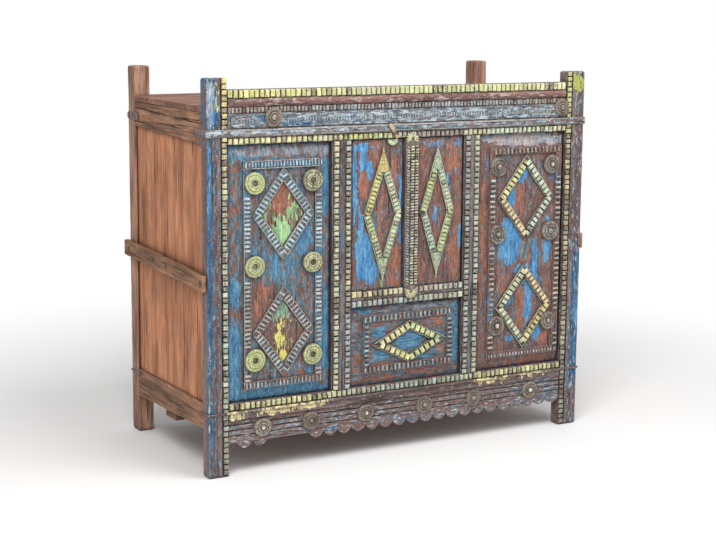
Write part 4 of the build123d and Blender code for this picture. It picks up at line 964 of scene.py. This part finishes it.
# %% the doors' diamonds
CLEAR = 0.011  # metres from the staple's middle that carry no blocks
staple_middle = sum(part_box("staple"), Vector()) / 2
for name, body, box, stops, seed in (
    ("left", "left_door", (-152.75, -15.75, 561.5, 971.5),
     [(0, 186, 192, 156), (1, 164, 178, 138), (2, 176, 184, 116), (3, 200, 190, 88)], 61),
    ("right", "right_door", (51.25, 176.25, 561.5, 971.5),
     [(0, 168, 186, 148), (1, 164, 180, 102), (2, 144, 170, 150), (3, 164, 180, 108)], 62),
):
    blocks, edges = carve(box, DOOR_BAND, 13.0, DOOR_PROUD, 0.9, 0.94, 2.6,
                          lambda side, start, end: side, tip=0.2)
    blocks = [place for place in blocks
              if math.dist((place[0] / 1000, place[2] / 1000), staple_middle.xz) > CLEAR]
    lay(round_low, "door_blocks_" + name, blocks, stops, body, 0.8, seed=seed, spread=18)
    lay(bar, "door_edges_" + name, edges, [(561, 160, 180, 150), (971, 170, 184, 150)], body, 0.9,
        seed=seed + 5, **THIN)
print("carved pieces laid")

# %% [markdown]
# ## Discs and rosettes
# The left panel's discs are flat, with two narrow rings cut in and a dark hole for the peg. A
# short cylinder's face is drawn in ring by ring, up or down at each step. The rosettes and
# the right panel's discs have a rope round the edge: a ring whose every third slanting rib
# is pressed in. Around the knob lies a thin plain ring.


# %% turned pieces
FACING = (math.pi / 2, 0, 0)
RIB_SIDES = 8


def turned_face(name, radius, thickness, steps):
    """A disc standing to -Y whose face is drawn in by (inward, outward) steps."""
    clear_selection()
    bpy.ops.mesh.primitive_cylinder_add(vertices=36, radius=radius, depth=thickness,
                                        location=(0, -thickness / 2, 0), rotation=FACING)
    piece = bpy.context.object
    piece.name = name
    bpy.ops.object.transform_apply(location=True, rotation=True)
    with editing(piece, faces_front):
        for inward, outward in steps:
            bpy.ops.mesh.inset(thickness=inward, depth=outward)
    return piece


def in_rib(vertex):
    """Whether a point of a rope ring belongs to every third slanting rib."""
    around, across = divmod(vertex.index, RIB_SIDES)
    return (around + across // 3) % 3 == 0


def rope_ring(radius, thick, count, press):
    """A ring that faces the front, with every third slanting rib pressed in."""
    clear_selection()
    bpy.ops.mesh.primitive_torus_add(major_segments=count, minor_segments=RIB_SIDES,
                                     major_radius=radius, minor_radius=thick, rotation=FACING)
    ring = bpy.context.object
    bpy.ops.object.transform_apply(rotation=True)
    with editing(ring, in_rib, "VERT"):
        bpy.ops.transform.shrink_fatten(value=-press)
    return ring


def knob(radius, height, depth):
    """A rounded knob standing to -Y from a depth."""
    clear_selection()
    bpy.ops.mesh.primitive_uv_sphere_add(segments=16, ring_count=10, radius=radius,
                                         location=(0, depth, 0), rotation=FACING)
    ball = bpy.context.object
    ball.scale = (1, 1, height / radius)
    bpy.ops.object.transform_apply(location=True, rotation=True, scale=True)
    return ball


def build_up(name, low, high, *pieces):
    """Join pieces into one, shade it smooth, and mark the crown between two heights."""
    take_up(*pieces)
    if len(pieces) > 1:
        bpy.ops.object.join()
    made = bpy.context.object
    made.name = name
    bpy.ops.object.shade_smooth_by_angle(angle=math.radians(40))
    mark_crown(made, low, high)
    bpy.context.scene.collection.objects.unlink(made)
    return made


PLATE = [(0.006, 0.0012), (0.002, -0.0024), (0.003, 0.0), (0.001, 0.0022), (0.003, 0.0),
         (0.001, -0.002), (0.002, 0.0)]
FLAT = [(0.0035, 0.0022), (0.0045, 0.0002), (0.0009, -0.0018), (0.0006, 0.0), (0.0009, 0.0018),
        (0.0076, 0.0006), (0.0009, -0.0014), (0.0006, 0.0), (0.0009, 0.0014), (0.0032, -0.0004),
        (0.0014, -0.0055), (0.0034, 0.0)]
flat_disc = build_up("flat_disc", 0.006, 0.0088, turned_face("flat", 0.0345, 0.0068, FLAT))
knobbed = build_up("knobbed_disc", 0.0036, 0.0078, turned_face("plate", 0.031, 0.0052, PLATE),
                   rope_ring(0.0305, 0.0042, 54, 0.0016), rope_ring(0.0195, 0.0018, 36, 0.0006),
                   knob(0.0085, 0.0062, -0.0055))
rosette = build_up("rosette", 0.004, 0.0088, turned_face("plate", 0.028, 0.0056, PLATE),
                   rope_ring(0.027, 0.0044, 48, 0.0018), rope_ring(0.0175, 0.002, 33, 0.0007),
                   knob(0.0086, 0.006, -0.006))
print("turned pieces", [len(o.data.polygons) for o in (flat_disc, knobbed, rosette)])

# %% discs and rosettes in place
chance = random.Random(7)
for template, name, node, depth, xs, zs, stops, left, seed, spread in (
    (flat_disc, "left_discs", "discs_panel_left", 4.0, (-527, -333), (350, 637, 888),
     [(350, 166, 176, 92), (637, 158, 168, 100), (888, 170, 182, 112)], 0.85, 71, 8),
    (knobbed, "right_discs", "discs_panel_right", 4.0, (347, 556), (370, 674, 896),
     [(370, 122, 118, 108), (674, 112, 124, 120), (896, 126, 132, 132)], 0.6, 72, 8),
    (rosette, "apron_rosettes", "rosettes_apron", 6.0, (-500, -335, -140, 75, 265, 490), (138,),
     [(-500, 128, 108, 92), (0, 124, 108, 98), (490, 128, 116, 102)], 0.5, 73, 8),
    (rosette, "frieze_rosettes", "rosettes_frieze", 0.0, (-465, 590), (1082,),
     [(-465, 112, 92, 82), (590, 118, 104, 94)], 0.45, 74, 6),
):
    lay(template, name, [(x, depth, z, chance.uniform(0, 360), 1, 1, z if len(zs) > 1 else x)
                         for x in xs for z in zs],
        stops, left=left, stands_for=[node], seed=seed, spread=spread)
knob_top = bead_block("knob_top", 0.0056, 0.2, 0.002, run=0.012, width=0.012)
lay(knob_top, "pale_knobs", [(556, -4.2, 896, 10, 1, 1, 0), (347, -4.2, 372, 0, 1.1, 1.5, 1),
                             (-500, -1.2, 138, 30, 0.9, 0.9, 0),
                             (-140, -1.2, 138, 10, 0.8, 0.8, 0), (490, -1.2, 138, 0, 1.1, 1.1, 0)],
    [(0, 226, 222, 200), (1, 214, 186, 176)], left=1.0, seed=75, spread=6)

# %% [markdown]
# ## Cover strip of the doors
# A strip nailed to the right door covers the gap between the doors. It has a plain reed on its
# left, two rows of small nicked blocks beside it, and a fan carved at each end.

# %% cover strip
STRIP_MIDDLE, STRIP_WIDTH = 15.5, 0.047
STRIP_FANS = (1000, 516)

clear_selection()
bpy.ops.mesh.primitive_cube_add(size=1, location=(STRIP_MIDDLE / 1000, front + 0.0035, 0.7665))
plank = bpy.context.object
plank.name = "cover_strip"
plank.scale = (STRIP_WIDTH, 0.013, 0.469)
bpy.ops.object.transform_apply(location=True, scale=True)
bevel(plank, 0.0015, 2)
strip_finish = painted("cover_strip_paint", "z", [
    layer(sky_blue, 0.16, (-4, 660, 8, 110, 0.3), (10, 700, 12, 60, 0.1)),
    layer(cream, 0.22, (10, 960, 30, 50, 0.12), size=0.012),
], (umber, plum, colour(128, 112, 96)), 9)
plank.data.materials.append(strip_finish)
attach(plank, "right_door")
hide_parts("astragal")
for z in sorted(STRIP_FANS):
    clear_selection()
    bpy.ops.mesh.primitive_cylinder_add(
        vertices=28, radius=STRIP_WIDTH / 2, depth=0.0034, rotation=FACING,
        location=(STRIP_MIDDLE / 1000, front - 0.0026, z / 1000))
    fan = bpy.context.object
    fan.name = "cover_strip_fan_%d" % z
    bpy.ops.object.transform_apply(location=True, rotation=True)
    bevel(fan, 0.0008)
    fan.data.materials.append(strip_finish)
    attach(fan, "right_door")


def spread_out(x, z, radius, depth, run, width, angles, where=None):
    """Places for bars that spread out like a fan from a middle."""
    made = []
    for angle in angles:
        turn = math.radians(angle)
        made.append((x + math.cos(turn) * radius, depth, z + math.sin(turn) * radius, -angle, run,
                     width, angle if where is None else where))
    return made


places = []
for z, first in zip(STRIP_FANS, (-20, 160)):
    places += spread_out(STRIP_MIDDLE, z, 14, -3.4, 1.15, 0.24, range(first, first + 221, 22), z)
lay(bar, "cover_fans", places, [(516, 196, 186, 130), (1000, 206, 210, 150)], "right_door",
    0.85, seed=81)
places = [(x, -2.8, z, 90, 0.5, 0.62, z) for x in (15, 30) for z in np.arange(544, 978, 9.0)]
lay(wide_low, "cover_blocks", places,
    [(540, 176, 184, 150), (700, 170, 160, 150), (860, 164, 156, 134), (978, 196, 190, 140)],
    "right_door", 0.6, seed=82, tilt=6, spread=20)
nicks = [(0.5, -2.8, z, 24, 0.82, 0.26, z) for z in np.arange(540, 982, 8.2)]
lay(bar, "cover_nicks", nicks,
    [(530, 140, 160, 156), (660, 110, 140, 160), (800, 140, 130, 124), (1000, 170, 162, 136)],
    "right_door", 0.6, seed=83, tilt=4, spread=18)

# %% [markdown]
# ## Tips of the door diamonds, half rosette and hardware
# Each door diamond ends above and below in a solid painted point. The point is a flat
# three-sided prism, stretched and bevelled. A fan of bars is carved on the half rosette that
# hangs from the top of the left door. The staple is a hand-forged loop, so its skin is a
# little heavier than a plain wire.


# %% points and half rosette
def point(name, x, z_base, z_tip, width, body, shade):
    """A solid point on a door, from its base to its tip."""
    clear_selection()
    bpy.ops.mesh.primitive_cylinder_add(vertices=3, radius=1, depth=1, rotation=FACING)
    piece = bpy.context.object
    piece.name = name
    bpy.ops.object.transform_apply(rotation=True)
    points = piece.data.vertices
    top, bottom = (pick(v.co.z for v in points) for pick in (max, min))
    wide = max(v.co.x for v in points)
    for vertex in points:
        share = (vertex.co.z - bottom) / (top - bottom)
        vertex.co.z = z_base / 1000 + (z_tip - z_base) / 1000 * share
        vertex.co.x = x / 1000 + vertex.co.x / wide * width / 2000
        vertex.co.y = front + 0.0052 + vertex.co.y * 0.0042
    if z_tip < z_base:
        with editing(piece):
            bpy.ops.mesh.normals_make_consistent(inside=False)
    bevel(piece, 0.001)
    count = len(piece.data.vertices)
    for attribute, kind, field, value in (("crown", "FLOAT", "value", (1.0,)),
                                          ("paint", "FLOAT_COLOR", "color",
                                           (*colour(*shade)[:3], 0.55))):
        made = piece.data.attributes.new(attribute, kind, "POINT")
        made.data.foreach_set(field, value * count)
    piece.data.materials.append(bead_finish)
    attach(piece, body)


point("left_door_point_top", -84.25, 900, 976, 40, "left_door", (214, 190, 74))
point("left_door_point_bottom", -84.25, 630, 556, 38, "left_door", (150, 172, 124))
point("right_door_point_top", 113.75, 898, 978, 36, "right_door", (150, 182, 150))
point("right_door_point_bottom", 113.75, 634, 554, 34, "right_door", (142, 168, 128))
petals = spread_out(-51.5, 1000, 11, 4.2, 0.9, 0.26, range(190, 351, 20))
lay(bar, "half_rosette_petals", petals, [(190, 190, 206, 160), (351, 196, 212, 170)], "left_door",
    0.9, seed=84)

# %% hardware and small finishes
HEAVIER = ((0, 1.3), (2, 1.7))  # how much wider and higher the forged loop is, by axis

latch_finish = bare("latch_wood", "x", (140, 116, 88), (200, 178, 140), (226, 208, 172), 27)
iron_finish = bare("old_iron", "z", (42, 36, 36), (66, 54, 50), (92, 66, 52), 28, 0.55)
petal_finish = painted("half_rosette_paint", "z", [layer(mint, 0.7)], seed=29)
give(latch_finish, "latch")
give(iron_finish, "latch_nail", "door_nail", "batten_nails")
give(petal_finish, "half_rosette")
forged = worn("staple", iron_finish, "x", 0.0012, 0.0008, 0.0004, "right_door")
for vertex in forged.data.vertices:
    for axis, share in HEAVIER:
        vertex.co[axis] = staple_middle[axis] + (vertex.co[axis] - staple_middle[axis]) * share

# %% [markdown]
# ## Paint of the panels and doors
# Each panel is dark wood under patches of rust brown and blue that follow the grain. Inside
# the left panel's diamonds green and yellow paint has run downwards. The daubs are listed as
# x, z, half width, half height and strength.

# %% panel finishes
INSIDE = ((-430, 430, 73, 100, 0.0, -0.5), (-430, 790, 73, 100, 0.0, -0.5))  # no blue in here
left_panel_finish = painted("left_panel_paint", "z", [
    layer((rust, brown), 0.34, (-586, 820, 18, 130, 0.3), (-460, 980, 50, 30, 0.3),
          (-350, 976, 30, 30, 0.25), (-586, 460, 14, 60, 0.3), (-385, 610, 30, 60, 0.3),
          (-500, 530, 30, 60, 0.2), (-284, 640, 12, 140, 0.3), (-430, 830, 40, 60, 0.3),
          (-430, 290, 90, 26, 0.2)),
    layer(teal_wash, 0.5, (-430, 940, 140, 16, 0.2), (-430, 640, 130, 60, 0.08),
          (-500, 500, 60, 100, -0.16), size=0.014, lozenges=[(-430, 790, 110, 150, 0.68, 0.2),
          (-430, 430, 110, 150, 0.68, 0.06), *INSIDE]),
    layer(sea_blue, 0.42, (-560, 985, 60, 40, 0.25), (-280, 880, 20, 110, 0.3),
          (-280, 400, 20, 120, 0.3), (-437, 240, 180, 26, 0.4), (-590, 350, 24, 120, 0.3),
          (-590, 560, 20, 50, 0.25), (-560, 880, 10, 50, 0.3), (-430, 942, 130, 14, 0.25),
          (-550, 780, 14, 90, 0.3), (-311, 560, 14, 260, 0.25), (-455, 630, 14, 60, 0.28),
          (-412, 650, 12, 60, 0.25), (-360, 710, 26, 50, 0.3), (-430, 480, 50, 50, 0.1),
          (-500, 500, 40, 90, -0.2), (-586, 780, 14, 130, -0.15),
          lozenges=[(-430, 430, 110, 150, 0.68, -0.06), (-430, 790, 110, 150, 0.68, -0.1),
          *INSIDE]),
    layer((pale_blue[0], plum), 0.24, (-345, 520, 30, 60, 0.2), (-500, 915, 60, 16, 0.2),
          (-510, 720, 24, 50, 0.15), (-290, 975, 30, 20, 0.3), (-430, 982, 200, 24, 0.42),
          size=0.01),
    # Painted shade: dark navy along the inside of the opening.
    layer(navy_painted_shade, 0.05, size=0.012, rims=[(-612, -262, 223, 1004, 16, 0.6)]),
    layer(mint, -0.1, (-438, 838, 24, 50, -0.45), (-432, 730, 30, 44, 0.2),
          (-470, 800, 12, 40, -0.1), size=0.012, lozenges=[(-430, 790, 70, 96, 0.0, 0.6)]),
    layer((colour(112, 148, 130), colour(140, 172, 146)), -0.1, (-430, 500, 20, 26, 0.1),
          (-430, 390, 80, 70, -0.5), size=0.012, lozenges=[(-430, 430, 70, 96, 0.0, 0.6)]),
    layer((lime[1], colour(220, 206, 110)), -0.1, (-484, 430, 22, 50, -0.2),
          (-380, 440, 20, 40, -0.2), (-430, 510, 40, 30, -0.4), (-442, 390, 20, 70, 0.14),
          (-428, 345, 16, 30, 0.2), size=0.009, lozenges=[(-430, 430, 70, 96, 0.0, 0.5)]),
    layer((lime[0], cream[1]), 0.0, (-430, 735, 34, 40, 0.3), size=0.009),
], (umber, colour(112, 88, 84), brown), 41)
right_panel_finish = painted("right_panel_paint", "z", [
    layer((rust, brown), 0.34, (293, 650, 12, 250, 0.35), (430, 770, 34, 70, 0.3),
          (460, 610, 26, 44, 0.4), (524, 690, 12, 50, 0.3), (445, 420, 20, 90, 0.35),
          (375, 510, 20, 40, 0.3), (440, 240, 150, 20, 0.2), (530, 316, 24, 16, 0.3)),
    layer(teal_wash, 0.42, (450, 620, 140, 40, 0.1), size=0.014),
    layer(sky_blue, 0.32, (395, 650, 50, 85, 0.4), (440, 872, 30, 30, 0.35),
          (400, 810, 20, 50, 0.3), (500, 560, 12, 110, 0.4), (548, 640, 14, 90, 0.4),
          (475, 440, 16, 90, 0.4), (450, 545, 40, 24, 0.35), (400, 455, 16, 34, 0.3),
          (510, 335, 24, 30, 0.35), (400, 322, 20, 16, 0.3), (324, 600, 10, 50, 0.3),
          (324, 430, 10, 110, 0.3), (570, 860, 14, 40, 0.25), (606, 500, 8, 260, 0.2),
          (460, 610, 20, 34, -0.4), (510, 780, 40, 60, -0.15)),
    # Painted shade: dark navy along the inside of the opening and down its left edge.
    layer(navy_painted_shade, 0.05, (322, 820, 10, 130, 0.3), (281, 600, 6, 380, 0.3), size=0.012,
          rims=[(275, 610, 223, 1004, 14, 0.55)]),
    layer((pale_blue[0], colour(186, 164, 156)), 0.22, (450, 985, 190, 28, 0.5),
          (604, 900, 8, 90, 0.4), (480, 850, 30, 20, 0.15), size=0.016, along="x"),
], (umber, colour(112, 86, 86), brown), 43)
lower_panel_finish = painted("lower_panel_paint", "x", [
    layer((rust, brown), 0.3, (125, 415, 34, 20, 0.35), (-80, 420, 34, 14, 0.3),
          (130, 320, 30, 16, 0.3), (-60, 288, 40, 12, 0.3), (0, 240, 190, 16, 0.35),
          (-178, 300, 14, 60, 0.25)),
    layer(teal_wash, 0.48, size=0.012),
    layer(sea_blue, 0.38, (-146, 360, 8, 90, 0.4), (198, 350, 14, 110, 0.4),
          (16, 355, 60, 30, 0.3), (-90, 318, 34, 18, 0.3), (-90, 390, 30, 20, 0.3),
          (80, 300, 50, 14, 0.3), (-150, 466, 40, 12, 0.3)),
    # Painted shade: dark navy along the inside of the opening.
    layer(navy_painted_shade, 0.05, size=0.012, rims=[(-195, 215, 223, 480, 13, 0.55)]),
    layer((pale_blue[0], plum), 0.26, (40, 464, 150, 12, 0.35), (-178, 400, 12, 60, 0.25),
          size=0.01),
], (umber, colour(112, 90, 88), brown), 45)
left_door_finish = painted("left_door_paint", "z", [
    layer((rust, brown), 0.34, (-110, 965, 24, 40, 0.3), (-150, 870, 22, 60, 0.3),
          (-45, 900, 16, 100, 0.3), (-84, 760, 24, 110, 0.22), (-40, 600, 24, 80, 0.2)),
    layer(teal_wash, 0.42, (-150, 700, 40, 120, 0.1), size=0.012),
    layer(sky_blue, 0.31, (-184, 860, 10, 130, 0.35), (-155, 940, 12, 40, 0.45),
          (-150, 660, 34, 60, 0.4), (-130, 590, 50, 40, 0.35), (-160, 740, 12, 40, 0.3),
          (-130, 905, 12, 34, 0.35), (-20, 780, 6, 160, 0.3), (-150, 980, 40, 14, 0.3),
          (-110, 700, 14, 60, 0.2), (-45, 600, 26, 80, -0.3), (-84, 800, 30, 90, -0.15)),
    # Painted shade: dark navy along the inside of the opening and down the gap beside the cover
    # strip.
    layer(navy_painted_shade, 0.05, (-11, 766, 4, 400, 0.6), size=0.012, rims=[(-195, 10, 532, 1001, 8, 0.5)]),
    layer((pale_blue[0], plum), 0.24, (-60, 985, 60, 14, 0.2), (-150, 545, 50, 14, 0.2),
          size=0.01),
    layer(mint, 0.0, (-84, 556, 12, 26, 0.5)),
], (umber, colour(108, 84, 82), brown), 47)
right_door_finish = painted("right_door_paint", "z", [
    layer((rust, brown), 0.36, (170, 930, 30, 50, 0.3), (70, 900, 16, 90, 0.15),
          (185, 620, 24, 90, 0.3), (113, 830, 20, 60, 0.15), (60, 600, 20, 60, 0.2)),
    layer(teal_wash, 0.4, size=0.012),
    layer(sky_blue, 0.24, (155, 865, 10, 24, 0.45), (120, 980, 90, 16, 0.3),
          (105, 760, 18, 34, 0.25), (204, 680, 8, 60, 0.35), (190, 890, 14, 20, 0.2)),
    # Painted shade: dark navy along the inside of the opening.
    layer(navy_painted_shade, 0.05, size=0.012, rims=[(-10, 215, 532, 1001, 8, 0.5)]),
    # Painted shadow: a dark patch on the door under the staple.
    layer(soot_and_painted_shade, 0.0, (56, 758, 20, 9, 0.6), size=0.012),
    layer((pale_blue[0], plum), 0.26, (110, 985, 80, 14, 0.25), (110, 700, 24, 60, 0.1),
          size=0.01),
    layer(mint, 0.0, (114, 545, 10, 22, 0.5)),
], (umber, colour(106, 80, 76), brown), 49)
give(left_panel_finish, "panel_front_left")
give(right_panel_finish, "panel_front_right")
give(lower_panel_finish, "panel_front_lower")
give(left_door_finish, "door_left")
give(right_door_finish, "door_right")
print("all finishes", len(bpy.data.materials))
